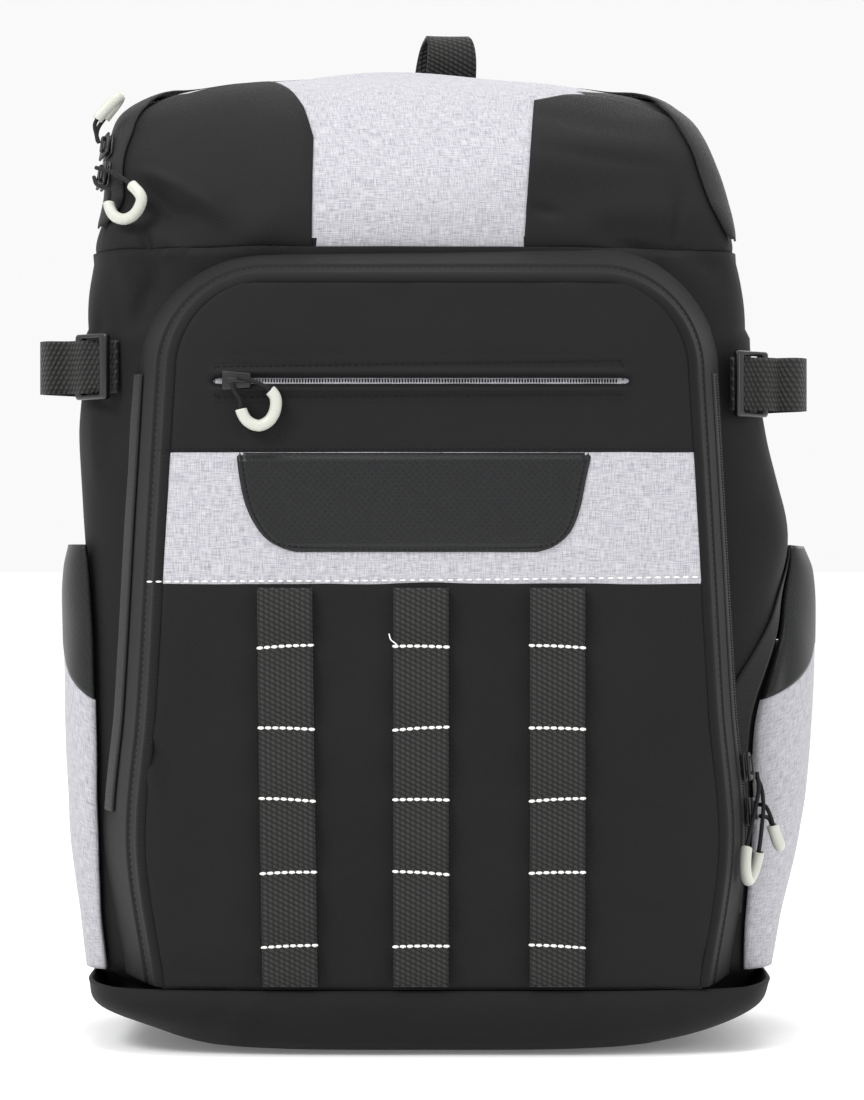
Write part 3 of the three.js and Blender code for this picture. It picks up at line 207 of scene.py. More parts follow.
# %% Folds
FOLDS = table("x0 z0 x1 z1 width depth", [
    [-142, 412, -82, 380, 14, 2.8],
    [-152, 396, -102, 381, 12, -3.4],
    [-162, 368, -132, 354, 10, -2.4],
    [50, 396, 122, 410, 18, -2.2],
    [53, 422, 116, 417, 13, 1.6],
    [86, 379, 129, 374, 10, -3.2],
    [-56, 401, 43, 403, 20, 1.4],
    [-165, 326, -149, 289, 12, -2.5],
    [152, 322, 162, 261, 12, -2.5],
])
SHARP_FOLDS = table("x0 z0 x1 z1 width depth", [
    [-138, 409, -118, 401, 3.0, 1.8],
    [-118, 401, -98, 386, 3.5, 1.6],
    [-136, 404, -124, 393, 4.0, -2.6],
    [-132, 392, -104, 388, 4.5, -1.8],
    [-138, 384, -131, 362, 3.0, -2.6],
    [-131, 362, -139, 338, 3.0, -2.2],
    [-128, 374, -112, 358, 3.0, -1.6],
    [-118, 372, -106, 362, 3.0, 1.4],
    [-149, 372, -143, 344, 4.0, 1.6],
    [47, 392, 60, 389, 3.0, -0.9],
    [46, 421, 110, 413, 4.0, -1.0],
    [88, 375, 112, 371, 3.0, -1.8],
    [112, 371, 122, 372, 3.0, -2.6],
    [101, 356, 108, 366, 3.0, -2.2],
    [108, 366, 120, 371, 3.0, 1.4],
    [118, 398, 116, 374, 3.5, -2.0],
    [126, 372, 138, 360, 4.0, -1.6],
    [30, 443, 100, 430, 5.0, -0.8],
    [-160, 300, -158, 262, 4.0, 1.4],
    [-158, 345, -163, 322, 4.0, -1.4],
    [143, 332, 151, 290, 4.0, 1.2],
])
FACE_FOLDS = table("x0 z0 x1 z1 width depth", [
    [-102, 196, -109, 65, 14, -1.5],
    [-30, 205, -33, 56, 16, -1.25],
    [33, 205, 30, 56, 16, -1.25],
    [96, 196, 99, 65, 14, -1.5],
    [-86, 326, 86, 326, 13, 1.25],
])
SHARP_FACE_FOLDS = table("x0 z0 x1 z1 width depth", [
    [-133, 148, -117, 122, 3.5, -1.8],
    [-134, 140, -124, 118, 3.0, 1.2],
    [-120, 40, -96, 36, 5.0, -1.0],
    [118, 92, 122, 52, 4.0, 1.0],
    [104, 36, 126, 48, 5.0, -1.2],
    [-90, 180, -80, 90, 9.0, 0.5],
    [84, 190, 92, 80, 10.0, 0.5],
])

SEED, NOISE_CELLS = 7, 16
NOISE = np.random.RandomState(SEED).rand(NOISE_CELLS, NOISE_CELLS, NOISE_CELLS) * 2 - 1
# Size of a wave in millimetres and its height
BODY_SLACK = ((46, 1.1), (19, 0.5))
FACE_SLACK = ((38, 0.5), (15, 0.25))
FOLD_SHARE, SHARP_SHARE, SHARP_WIDTH = 1.25, 1.5, 8


def soft_noise(points, scale):
    at = np.asarray(points) / scale
    low = np.floor(at).astype(int)
    t = at - low
    t = t * t * (3 - 2 * t)
    value = 0
    for corner in range(8):
        step = np.array([corner & 1, corner >> 1 & 1, corner >> 2 & 1])
        cell = (low + step) % NOISE_CELLS
        weight = np.prod(np.where(step, t, 1 - t), axis=-1)
        value = value + weight * NOISE[cell[..., 0], cell[..., 1], cell[..., 2]]
    return value


def slack_height(point, waves):
    return sum(height * soft_noise(point, scale) for scale, height in waves)


def fold_height(rows, x, z):
    """How far the folds of a table stand out at x and z. Narrow ones fade towards both ends"""
    height = np.zeros(np.shape(x))
    for k in range(len(rows["x0"])):
        start = np.array([rows["x0"][k], rows["z0"][k]])
        run = np.array([rows["x1"][k], rows["z1"][k]]) - start
        here = np.stack([x - start[0], z - start[1]], -1)
        share = np.clip(here @ run / (run @ run), 0, 1)
        away = np.linalg.norm(here - share[..., None] * run, axis=-1) / rows["width"][k]
        taper = np.sin(np.pi * (0.12 + 0.76 * share))
        height += rows["depth"][k] * np.exp(-away * away) * (taper if rows["width"][k] < SHARP_WIDTH else 1)
    return height


print("folds:", sum(len(rows["x0"]) for rows in (FOLDS, SHARP_FOLDS, FACE_FOLDS, SHARP_FACE_FOLDS)))

# %% [markdown]
# ## Surfaces
#
# The pack's outside is a few smooth surfaces that the cloth pieces lie on. Body and hood are one family of rounded
# sections, found by a turn round the pack and a level up it. The front pocket has a face, found by x and z, and a
# side wall, found by a place round its outline and a depth. Functions were chosen over one modelled mesh, because
# any zip, strap or seam can then be laid on them at any place.

# %% Surfaces
def section_point(section, turn):
    """A point of a rounded section. A turn counts its four sides: front, right, back and left"""
    side = np.mod(turn, 4)
    run = 2 * np.mod(side, 1) - 1
    which = np.floor(side).astype(int) % 4
    sx = np.choose(which, [run, 1 + 0 * run, -run, -1 + 0 * run])
    sy = np.choose(which, [-1 + 0 * run, run, 1 + 0 * run, -run])
    power = section["square"]
    reach = (np.abs(sx) ** power + np.abs(sy) ** power) ** (1 / power)
    left, right, front, back = (section[name] for name in ("left", "right", "front", "back"))
    return np.stack([(right - left) / 2 + (right + left) / 2 * sx / reach,
                     (back + front) / 2 + (back - front) / 2 * sy / reach,
                     section["z"] + 0 * reach], -1)


def boot_section(z):
    column = lambda name: along(BOOT_ROWS, "rise", name, z / BOOT_HEIGHT)
    return {"z": z, "left": column("left") * HALF_WIDTH, "right": column("right") * HALF_WIDTH,
            "front": BODY_MIDDLE - BODY_DEPTH / 2 - column("front") * POCKET_DEPTH,
            "back": BODY_MIDDLE + column("back") * BODY_DEPTH / 2, "square": column("square")}


def body_section(level):
    level = np.asarray(level, float)
    hood = level > 1
    column = lambda name: np.where(hood, along(HOOD_ROWS, "step", name, level - 1),
                                   along(BODY_ROWS, "rise", name, level))
    z = np.where(hood, HOOD_SEAM + along(HOOD_ROWS, "step", "rise", level - 1) * (HEIGHT - HOOD_SEAM),
                 level * HOOD_SEAM)
    section = {"z": z, "left": column("left") * HALF_WIDTH, "right": column("right") * HALF_WIDTH,
               "front": BODY_MIDDLE - column("front") * BODY_DEPTH,
               "back": BODY_MIDDLE + column("back") * BODY_DEPTH, "square": column("square")}
    boot, low, inset = boot_section(z), z < BOOT_HEIGHT, CLOTH + 4 * SEAM
    for name in ("left", "right", "back"):
        section[name] = np.where(low, np.minimum(section[name], boot[name] - inset), section[name])
    section["square"] = np.where(low, boot["square"] * TUCK_ROUNDING, section["square"])
    return section


def lifted(surface, u, v, out):
    """The surface moved out along its own normal"""
    across = surface(u + TINY, v) - surface(u - TINY, v)
    up = surface(u, v + TINY) - surface(u, v - TINY)
    normal = np.cross(across, up)
    normal = normal / np.linalg.norm(normal, axis=-1, keepdims=True)
    return surface(u, v) + normal * np.asarray(out)[..., None]


def bare_body(turn, level):
    return section_point(body_section(level), turn)


def body_point(turn, level, out=0.0):
    turn, level = np.broadcast_arrays(np.asarray(turn, float), np.asarray(level, float))
    point = bare_body(turn, level)
    facing = np.clip((BODY_MIDDLE - point[..., 1]) / (BODY_DEPTH / 2), 0, 1)
    folds = fold_height(FOLDS, point[..., 0], point[..., 2])
    sharp = fold_height(SHARP_FOLDS, point[..., 0], point[..., 2])
    slack = slack_height(point, BODY_SLACK) * np.clip(point[..., 2] / BOOT_HEIGHT - 1, 0, 1)
    return lifted(bare_body, turn, level, out + facing * (FOLD_SHARE * folds + SHARP_SHARE * sharp) + slack)


def level_at(z):
    return np.asarray(z, float) / HOOD_SEAM


print(f"thickness of the body: {BODY_DEPTH} mm, height with the hood: {HEIGHT} mm")

# %% [markdown]
# ## Surfaces of the front pocket
#
# The front pocket is a flat box sewn to the body. Its face bows a little and falls away at the sides, and its side
# wall flares out towards the body. The face is found by x and z. The wall is found by q, which runs from -1 at the
# left foot over the top to 1 at the right foot, and by its depth. One outline serves both, so they share an edge.

# %% Surfaces of the front pocket
PANEL_ROWS = table("rise width", [[0, 0.935], [0.23, 1], [0.45, 0.965], [0.75, 0.93], [1, 0.9]])
CORNER_LEVEL = PANEL_TOP - PANEL_CORNER
PANEL_FOOT = BOOT_HEIGHT + SEAM


def panel_half(z):
    share = np.clip((z - BOOT_HEIGHT) / (CORNER_LEVEL - BOOT_HEIGHT), 0, 1)
    return along(PANEL_ROWS, "rise", "width", share) * PANEL_HALF


PANEL_FLAT = float(panel_half(CORNER_LEVEL)) - PANEL_CORNER
PANEL_ARC = PANEL_CORNER * math.pi / 2
PANEL_STRAIGHT = CORNER_LEVEL - PANEL_FOOT
HALF_GIRTH = PANEL_STRAIGHT + PANEL_ARC + PANEL_FLAT


def panel_outline(share, side, inset=0.0):
    at = np.clip(share, 0, 1) * HALF_GIRTH
    radius = PANEL_CORNER - inset
    angle = np.clip((at - PANEL_STRAIGHT) / PANEL_CORNER, 0, math.pi / 2)
    top = at > PANEL_STRAIGHT + PANEL_ARC
    straight = at < PANEL_STRAIGHT
    x = np.where(straight, panel_half(PANEL_FOOT + at) - inset,
                 np.where(top, PANEL_FLAT - (at - PANEL_STRAIGHT - PANEL_ARC),
                          PANEL_FLAT + radius * np.cos(angle)))
    z = np.where(straight, PANEL_FOOT + at, CORNER_LEVEL + np.where(top, radius, radius * np.sin(angle)))
    return side * x, z


FACE_ROWS = table("rise depth", [[0.0, 0.94], [0.2, 1.0], [0.5, 1.0], [0.8, 0.96], [0.93, 0.9], [1.0, 0.84]])


def face_point(x, z):
    share = (z - BOOT_HEIGHT) / (PANEL_TOP - BOOT_HEIGHT)
    depth = along(FACE_ROWS, "rise", "depth", share) * POCKET_DEPTH
    fall = PANEL_FALL * np.abs(x / PANEL_HALF) ** 4
    y = BODY_MIDDLE - BODY_DEPTH / 2 - depth + fall
    point = np.stack([x, y, z], -1)
    folds = fold_height(FACE_FOLDS, x, z) + fold_height(SHARP_FACE_FOLDS, x, z)
    point[..., 1] -= folds + slack_height(point, FACE_SLACK)
    return point


def bare_gusset(q, depth):
    side = np.where(q < 0, -1.0, 1.0)
    share = 1 - np.abs(q)
    x, z = panel_outline(share, side)
    x1, z1 = panel_outline(np.minimum(share + TINY, 1), side)
    x0, z0 = panel_outline(np.maximum(share - TINY, 0), side)
    run = np.hypot(x1 - x0, z1 - z0)
    out_x, out_z = side * (z1 - z0) / run, -side * (x1 - x0) / run
    leftness = np.clip(0.5 - 2 * q, 0, 1)
    back = BODY_MIDDLE - BODY_DEPTH / 2 + lerp(RIGHT_SEAT, LEFT_SEAT, leftness)
    face = face_point(x, z)[..., 1]
    return np.stack([x + out_x * lerp(RIGHT_FLARE, LEFT_FLARE, leftness) * depth,
                     lerp(face, back, depth), z + np.maximum(out_z, 0) * GUSSET_RISE * depth], -1)


def gusset_point(q, depth, out=0.0):
    q, depth = np.broadcast_arrays(np.asarray(q, float), np.asarray(depth, float))
    return lifted(bare_gusset, np.clip(q, TINY - 1, 1 - TINY), depth, out)


print(f"half the girth of the front pocket: {HALF_GIRTH:.0f} mm")

# %% [markdown]
# ## Making a sheet
#
# Nearly every piece of a backpack is a flat cut of cloth or webbing. So every sheet starts as a flat grid from
# bmesh, and its points are carried onto a surface. Its UV map holds the real lengths along the cloth in metres, so
# that a weave drawn on it keeps its size and isn't pulled. An unwrap could do that too, but it would have to be
# checked on each piece. Solidify gives the thickness inwards, and the outside stays where the surface is.

# %% Making a sheet
def shown(bm, name, material, thick=0.0):
    mesh = bpy.data.meshes.new(name + "_detail")
    bm.to_mesh(mesh)
    bm.free()
    mesh.shade_smooth()
    piece = bpy.data.objects.new(name + "_detail", mesh)
    scene.collection.objects.link(piece)
    mesh.materials.append(material)
    if thick:
        skin = piece.modifiers.new("thickness", "SOLIDIFY")
        skin.thickness, skin.offset = thick * MM, -1
    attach(piece, "root")
    return piece


# Share of the cells asked for, which keeps the whole under a million triangles
FINENESS = 0.74
WELD_DISTANCE = 1e-5


def sheet(name, across, upward, at, material, thick, weld=False):
    bm = bmesh.new()
    uv = bm.loops.layers.uv.new("UVMap")
    across, upward = round(across * FINENESS), round(upward * FINENESS)
    bmesh.ops.create_grid(bm, x_segments=across, y_segments=upward, size=0.5)
    flat = np.array([vert.co[:2] for vert in bm.verts]) + 0.5
    points = at(flat[:, 0], flat[:, 1]) * MM
    column, row = np.rint(flat[:, 0] * across).astype(int), np.rint(flat[:, 1] * upward).astype(int)
    grid = np.empty((across + 1, upward + 1, 3))
    grid[column, row] = points
    far = np.vstack([np.zeros(upward + 1), np.cumsum(np.linalg.norm(np.diff(grid, axis=0), axis=2), axis=0)])
    far -= far[across // 2]
    rise = np.concatenate([[0], np.cumsum(np.linalg.norm(np.diff(grid, axis=1), axis=2).mean(axis=0))])
    for face in bm.faces:
        for loop in face.loops:
            k = loop.vert.index
            loop[uv].uv = (far[column[k], row[k]], rise[row[k]])
    for vert, point in zip(bm.verts, points):
        vert.co = point
    if weld:
        bmesh.ops.remove_doubles(bm, verts=bm.verts, dist=WELD_DISTANCE)
    piece = shown(bm, name, material, thick)
    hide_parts(name)
    return piece

# %% [markdown]
# ## Lines and cords
#
# Cords and straps need a line that bends smoothly through a few points. A Bezier curve would need handles set by
# hand. A Catmull-Rom line needs only the points, and spacing its output evenly keeps the pieces along it alike. A
# cord is then a curve with a round bevel, since its thickness is the same all along.

# %% Lines and cords
def smooth_line(points, count):
    """A centripetal Catmull-Rom line through points, with count points spaced evenly along it"""
    points = np.asarray(points, float)
    ends = np.vstack([2 * points[0] - points[1], points, 2 * points[-1] - points[-2]])
    fine = []
    for k in range(len(points) - 1):
        p = ends[k:k + 4]
        knots = np.concatenate([[0], np.cumsum(np.linalg.norm(np.diff(p, axis=0), axis=1) ** 0.5)])
        t = np.linspace(knots[1], knots[2], 24, endpoint=False)[:, None]
        a = [(knots[i + 1] - t) / (knots[i + 1] - knots[i]) * p[i]
             + (t - knots[i]) / (knots[i + 1] - knots[i]) * p[i + 1] for i in range(3)]
        b = [(knots[i + 2] - t) / (knots[i + 2] - knots[i]) * a[i]
             + (t - knots[i]) / (knots[i + 2] - knots[i]) * a[i + 1] for i in range(2)]
        span = knots[2] - knots[1]
        fine.append((knots[2] - t) / span * b[0] + (t - knots[1]) / span * b[1])
    fine = np.vstack(fine + [points[-1:]])
    far = np.concatenate([[0], np.cumsum(np.linalg.norm(np.diff(fine, axis=0), axis=1))])
    at = np.linspace(0, far[-1], count)
    return np.stack([np.interp(at, far, fine[:, i]) for i in range(3)], -1), float(far[-1])


def curve_piece(name, points, radius, material, closed=False):
    """A round cord along points given in millimetres"""
    data = bpy.data.curves.new(name + "_detail", "CURVE")
    data.dimensions = "3D"
    data.bevel_depth, data.bevel_resolution, data.use_fill_caps = radius * MM, 3, True
    line = data.splines.new("POLY")
    line.points.add(len(points) - 1)
    line.points.foreach_set("co", np.c_[np.asarray(points) * MM, np.ones(len(points))].ravel())
    line.use_cyclic_u = closed
    line.use_smooth = True
    data.materials.append(material)
    piece = bpy.data.objects.new(name + "_detail", data)
    scene.collection.objects.link(piece)
    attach(piece, "root")
    return piece


print("grids are made with", round(FINENESS * 100), "percent of their cells")

# %% [markdown]
# ## Materials
#
# The pack has seven finishes: twill, heather cloth, leather, webbing, zip tape, mesh and plain plastic or cord.
# Photographed textures would show a repeat, and nodes don't. This small kit keeps each recipe short: `Recipe.node`
# adds a node and links whatever is given to its inputs. `lanes` draws the lines of a weave, and `pits` the staggered
# holes that leather and mesh share, which both recipes colour darker as painted shade.

# %% Material kit
class Recipe:
    def __init__(self, name):
        self.material = bpy.data.materials.new(name)
        self.material.use_nodes = True
        self.tree = self.material.node_tree
        self.shader = self.tree.nodes["Principled BSDF"]
        self.uv = self.node("ShaderNodeUVMap", uv_map="UVMap").outputs["UV"]
        self.place = self.node("ShaderNodeTexCoord").outputs["Object"]

    def put(self, socket, value):
        if isinstance(value, bpy.types.NodeSocket):
            self.tree.links.new(value, socket)
        else:
            socket.default_value = value

    def put_color(self, socket, value):
        self.put(socket, value if isinstance(value, bpy.types.NodeSocket) else (*value, 1))

    def node(self, kind, inputs=(), **settings):
        node = self.tree.nodes.new(kind)
        for key, value in settings.items():
            setattr(node, key, value)
        for key, value in dict(inputs).items():
            self.put(node.inputs[key], value)
        return node

    def math(self, operation, a, b=0.0, c=0.0):
        return self.node("ShaderNodeMath", {0: a, 1: b, 2: c}, operation=operation).outputs[0]

    def stretch(self, vector, scale):
        return self.node("ShaderNodeMapping", {"Vector": vector, "Scale": scale}).outputs[0]

    def noise(self, vector, scale, detail=2.0, rough=0.5):
        return self.node("ShaderNodeTexNoise", {"Vector": vector, "Scale": scale, "Detail": detail,
                                                "Roughness": rough}).outputs["Fac"]

    def ramp(self, value, *stops):
        node = self.node("ShaderNodeValToRGB", {"Fac": value})
        for k, (at, color) in enumerate(stops):
            stop = node.color_ramp.elements[k] if k < 2 else node.color_ramp.elements.new(at)
            stop.position, stop.color = at, (*color, 1)
        return node.outputs["Color"]

    def mix(self, share, a, b):
        node = self.node("ShaderNodeMix", data_type="RGBA")
        self.put(node.inputs[0], share)
        for slot, value in ((6, a), (7, b)):
            self.put_color(node.inputs[slot], value)
        return node.outputs[2]

    def bump(self, height, strength, distance):
        previous = self.shader.inputs["Normal"].links
        inputs = {"Height": height, "Strength": strength, "Distance": distance}
        if previous:
            inputs["Normal"] = previous[0].from_socket
        self.put(self.shader.inputs["Normal"], self.node("ShaderNodeBump", inputs).outputs["Normal"])

    def finish(self, color, rough, sheen=0.0, specular=0.5):
        self.put_color(self.shader.inputs["Base Color"], color)
        self.put(self.shader.inputs["Roughness"], rough)
        self.shader.inputs["Sheen Weight"].default_value = sheen
        self.shader.inputs["Sheen Roughness"].default_value = 0.4
        self.shader.inputs["Specular IOR Level"].default_value = specular
        return self.material


def lanes(recipe, pitch, angle=0.0):
    """Fine lines across the cloth, 0 to 1, at a pitch in metres and an angle from the width"""
    u, v = (recipe.node("ShaderNodeSeparateXYZ", {0: recipe.uv}).outputs[i] for i in range(2))
    lean = recipe.math("MULTIPLY_ADD", u, math.sin(angle), recipe.math("MULTIPLY", v, math.cos(angle)))
    wave = recipe.math("SINE", recipe.math("MULTIPLY", lean, 2 * math.pi / pitch))
    return recipe.math("MULTIPLY_ADD", wave, 0.5, 0.5)


def middle_of(recipe, value):
    """How far a value is from the middle of its own cell, -0.5 to 0.5"""
    return recipe.math("SUBTRACT", recipe.math("FRACT", value), 0.5)


def every_other(recipe, value):
    """0.5 in every second cell, which staggers the rows"""
    return recipe.math("MULTIPLY", recipe.math("FLOORED_MODULO", recipe.math("FLOOR", value), 2.0), 0.5)


def pits(recipe, u, v, pitches, squeeze, rim):
    """1 inside each of a field of staggered pits and 0 between them, fading over the rim"""
    row = recipe.math("MULTIPLY", v, 1 / pitches[1])
    across = recipe.math("MULTIPLY_ADD", u, 1 / pitches[0], every_other(recipe, row))
    dx, dz = (recipe.math("MULTIPLY", middle_of(recipe, value), factor)
              for value, factor in ((across, squeeze[0]), (row, squeeze[1])))
    away = recipe.math("SQRT", recipe.math("ADD", recipe.math("POWER", dx, 2.0), recipe.math("POWER", dz, 2.0)))
    return recipe.node("ShaderNodeMapRange", {"Value": away, 1: rim[0], 2: rim[1], 3: 1.0, 4: 0.0}).outputs[0]

# %% [markdown]
# ## Cloths and other finishes
#
# Twill is a steep diagonal of fine yarns, and heather cloth is woven of light and dark yarns that make short
# streaks both ways. Webbing is a herringbone of thick knobs. Each is drawn by waves or stretched noise at the
# real pitch of its yarns, for the colour and again for a shallow bump, because a weave shows as much by its
# shadows as by its colour. The colours are near black, since most of what black cloth shows is reflected.

# %% Cloth materials
def twill(name="black_cloth", dark=(0.0012, 0.0012, 0.0014), light=(0.0105, 0.0105, 0.0118)):
    r = Recipe(name)
    line = lanes(r, 0.00115, math.radians(38))
    cross = lanes(r, 0.00075, math.radians(-52))
    yarn = r.noise(r.stretch(r.uv, (1300, 1300, 1)), 1.0, 2.0)
    worn = r.noise(r.place, 12.0, 4.0)
    weave = r.math("MULTIPLY_ADD", line, 0.36, r.math("MULTIPLY_ADD", cross, 0.2, r.math("MULTIPLY", yarn, 0.5)))
    value = r.math("MULTIPLY_ADD", worn, 0.3, r.math("MULTIPLY", weave, 0.8))
    color = r.ramp(value, (0.22, dark), (0.95, light))
    r.bump(weave, 0.5, 0.00035)
    r.bump(r.noise(r.place, 60.0, 4.0), 0.16, 0.002)
    return r.finish(color, 0.72, 0.03, 0.2)


def heather(name="grey_cloth"):
    r = Recipe(name)
    weft = r.noise(r.stretch(r.uv, (170, 1900, 1)), 1.0, 3.0, 0.6)
    warp = r.noise(r.stretch(r.uv, (1900, 170, 1)), 1.0, 3.0, 0.6)
    cross = r.math("MULTIPLY_ADD", weft, 0.5, r.math("MULTIPLY", warp, 0.5))
    color = r.ramp(cross, (0.36, (0.215, 0.215, 0.245)), (0.48, (0.36, 0.36, 0.395)), (0.62, (0.50, 0.50, 0.53)))
    tint = r.noise(r.stretch(r.uv, (300, 300, 1)), 1.0, 2.0)
    color = r.mix(r.math("MULTIPLY", tint, 0.16), color, (0.42, 0.385, 0.35))
    weave = r.math("MULTIPLY", lanes(r, 0.0009), lanes(r, 0.0009, math.pi / 2))
    r.bump(r.math("MULTIPLY_ADD", weave, 0.6, cross), 0.3, 0.00025)
    r.bump(r.noise(r.place, 40.0, 3.0), 0.10, 0.002)
    return r.finish(color, 0.85, 0.1, 0.25)


def leather(name="black_leather"):
    """Grained leather with punched holes where the attribute inner is 1. Each hole is a dent, coloured darker as
    painted shade
    """
    r = Recipe(name)
    grain = r.node("ShaderNodeTexVoronoi", {"Vector": r.uv, "Scale": 900.0}).outputs["Distance"]
    color = r.ramp(grain, (0.0, (0.0040, 0.0043, 0.0048)), (0.8, (0.0085, 0.0090, 0.0098)))
    r.bump(grain, 0.25, 0.0002)
    u, v = (r.node("ShaderNodeSeparateXYZ", {0: r.uv}).outputs[i] for i in range(2))
    inner = r.node("ShaderNodeAttribute", attribute_name="inner").outputs["Fac"]
    pit = r.math("MULTIPLY", pits(r, u, v, (0.0031, 0.0017), (3.1, 1.7), (0.3, 0.62)), inner)
    # Painted shade: the holes are coloured darker than the leather round them
    color = r.mix(pit, color, (0.002, 0.002, 0.003))
    r.bump(pit, -0.8, 0.0008)
    return r.finish(color, 0.38, 0.0, 0.3)


def webbing(name="webbing"):
    r = Recipe(name)
    u, v = (r.node("ShaderNodeSeparateXYZ", {0: r.uv}).outputs[i] for i in range(2))
    column = r.math("MULTIPLY", u, 1 / 0.00235)
    du = middle_of(r, column)
    dv = middle_of(r, r.math("MULTIPLY_ADD", v, 1 / 0.0024, every_other(r, column)))
    lean = r.math("MULTIPLY_ADD", du, 0.45, dv)
    oval = r.math("ADD", r.math("POWER", r.math("MULTIPLY", du, 1.9), 2.0),
                  r.math("POWER", r.math("MULTIPLY", lean, 2.3), 2.0))
    knob = r.node("ShaderNodeMapRange", {"Value": oval, 1: 0.0, 2: 1.1, 3: 1.0, 4: 0.0}).outputs[0]
    yarn = r.noise(r.stretch(r.uv, (2500, 900, 1)), 1.0, 2.0)
    value = r.math("MULTIPLY", knob, r.math("MULTIPLY_ADD", yarn, 0.6, 0.65))
    color = r.ramp(value, (0.1, (0.0022, 0.0022, 0.0022)), (0.85, (0.027, 0.027, 0.025)))
    r.bump(knob, 0.8, 0.0007)
    return r.finish(color, 0.7, 0.08, 0.35)


def tape(name="zip"):
    r = Recipe(name)
    rib = lanes(r, 0.0011)
    color = r.ramp(rib, (0.0, (0.0035, 0.0035, 0.0038)), (1.0, (0.011, 0.011, 0.0112)))
    r.bump(rib, 0.4, 0.0003)
    return r.finish(color, 0.75, 0.1, 0.3)


def air_mesh(name="air_mesh"):
    r = Recipe(name)
    x, z = (r.node("ShaderNodeSeparateXYZ", {0: r.place}).outputs[i] for i in (0, 2))
    hole = pits(r, x, z, (0.0024, 0.0017), (1.4, 1.0), (0.22, 0.42))
    yarn = r.ramp(r.noise(r.place, 1600.0, 2.0), (0.2, (0.010, 0.010, 0.011)), (0.8, (0.026, 0.026, 0.028)))
    # Painted shade: the holes are coloured near black, darker than the yarn round them
    color = r.mix(hole, yarn, (0.001, 0.001, 0.001))
    r.bump(hole, -0.7, 0.0008)
    return r.finish(color, 0.8, 0.06, 0.15)


def plain(name, color, rough, specular=0.5, grain=0.1, subsurface=0.0):
    r = Recipe(name)
    speck = r.noise(r.place, 900.0, 2.0)
    shade = r.mix(r.math("MULTIPLY", speck, 0.35), color, tuple(c * 0.7 for c in color))
    r.bump(speck, grain, 0.0002)
    r.shader.inputs["Subsurface Weight"].default_value = subsurface
    r.shader.inputs["Subsurface Radius"].default_value = (0.003, 0.003, 0.002)
    return r.finish(shade, rough, 0.0, specular)


TWILL = twill()
SMOOTH_CLOTH = twill("trim_cloth", (0.0012, 0.0012, 0.0012), (0.0065, 0.0065, 0.0068))
HEATHER = heather()
LEATHER = leather()
WEB = webbing()
TAPE = tape()
MESH = air_mesh()
PLASTIC = plain("black_plastic", (0.005, 0.005, 0.0055), 0.3)
COIL = plain("coil", (0.0018, 0.0018, 0.0019), 0.6, 0.2)
CORD_FINISH = plain("cord_braid", (0.004, 0.004, 0.0045), 0.7, 0.3, 0.6)
TUBE_FINISH = plain("pull_rubber", (0.50, 0.51, 0.455), 0.38, 0.5, 0.05, 0.12)
THREAD = plain("white_thread", (0.86, 0.86, 0.84), 0.7, 0.3, 0.3)
DARK_THREAD = plain("black_thread", (0.008, 0.008, 0.009), 0.8, 0.2, 0.3)
print("materials:", len(bpy.data.materials))

# %% [markdown]
# ## Boot, body and hood
#
# The base is a shallow tray of heavier cloth, whose lower rows close into a flat floor. The body rises from it to
# the hood seam, and the hood closes over the top, grey in front with black cloth on its sides. Each is one grid
# wrapped round the pack, with the join at the middle of the back, where the pad hides it. The black of the hood's
# rear is a second material on the same grid, because a separate sheet would only lie under the side panels.

# %% Boot, body and hood
BODY_FOOT = level_at(BOOT_HEIGHT - BOOT_TUCK)
BOOT_FOLDS = table("x0 z0 x1 z1 width depth", [
    [-115, 32, -114, 24, 3.5, 1.2],
    [-88, 30, -110, 12, 3.5, -1.4],
    [-100, 26, -108, 14, 3.0, 1.0],
    [-74, 26, -85, 8, 4.0, -1.6],
    [-82, 24, -92, 10, 3.0, 1.0],
    [100, 28, 116, 14, 4.0, -1.2],
    [60, 26, 70, 10, 5.0, -0.8],
])


HOOD_TUCK, BODY_TUCK, HOOD_FADE, BODY_FADE = 2.2, 1.6, 45, 240
BOOT_SLACK, BOOT_MOUTH_IN, BOOT_MOUTH_FROM = ((24, 0.8),), 3.2, 0.72
BOOT_FLOOR, HOOD_CAP, CAP_CLOSED = 0.2, 0.1, 0.97
HOOD_TOP = (-21.0, 50.0)
HOOD_LEFT, HOOD_RIGHT, HOOD_LEAN = -0.34, 0.26, 0.05
PANEL_OUT, PANEL_BACK = 1.3, 0.2


def round_from_back(u):
    """A whole turn round the pack that starts and ends at the middle of its back"""
    return 4 * u + 2.5


def seam_tuck(level):
    """How far the cloth turns in where the hood is sewn to the body"""
    above, below = np.clip(level - 1, 0, None), np.clip(1 - level, 0, None)
    return -HOOD_TUCK * np.exp(-above * HOOD_FADE) - BODY_TUCK * np.exp(-below * BODY_FADE)


def boot_at(u, v):
    rise = np.clip((v - BOOT_FLOOR) / (1 - BOOT_FLOOR), 0, 1)
    floor = np.clip(v / BOOT_FLOOR, 0.02, 1)
    point = section_point(boot_section(rise * BOOT_HEIGHT), round_from_back(u))
    fold = fold_height(BOOT_FOLDS, point[..., 0], point[..., 2]) + slack_height(point, BOOT_SLACK)
    drawn_in = BOOT_MOUTH_IN * np.clip((rise - BOOT_MOUTH_FROM) / (1 - BOOT_MOUTH_FROM), 0, 1) ** 2
    facing = np.clip(-point[..., 1] / 60, 0, 1)
    point[..., 1] -= (fold - drawn_in) * facing * np.clip(rise * 4, 0, 1)
    point[..., 0] *= floor
    point[..., 1] = BODY_MIDDLE + (point[..., 1] - BODY_MIDDLE) * floor
    return point


def body_at(u, v):
    level = lerp(BODY_FOOT, 1, v)
    tuck = np.where(level > 0.9, seam_tuck(level) + HOOD_TUCK * (level >= 1), 0)
    return body_point(round_from_back(u), level, tuck)


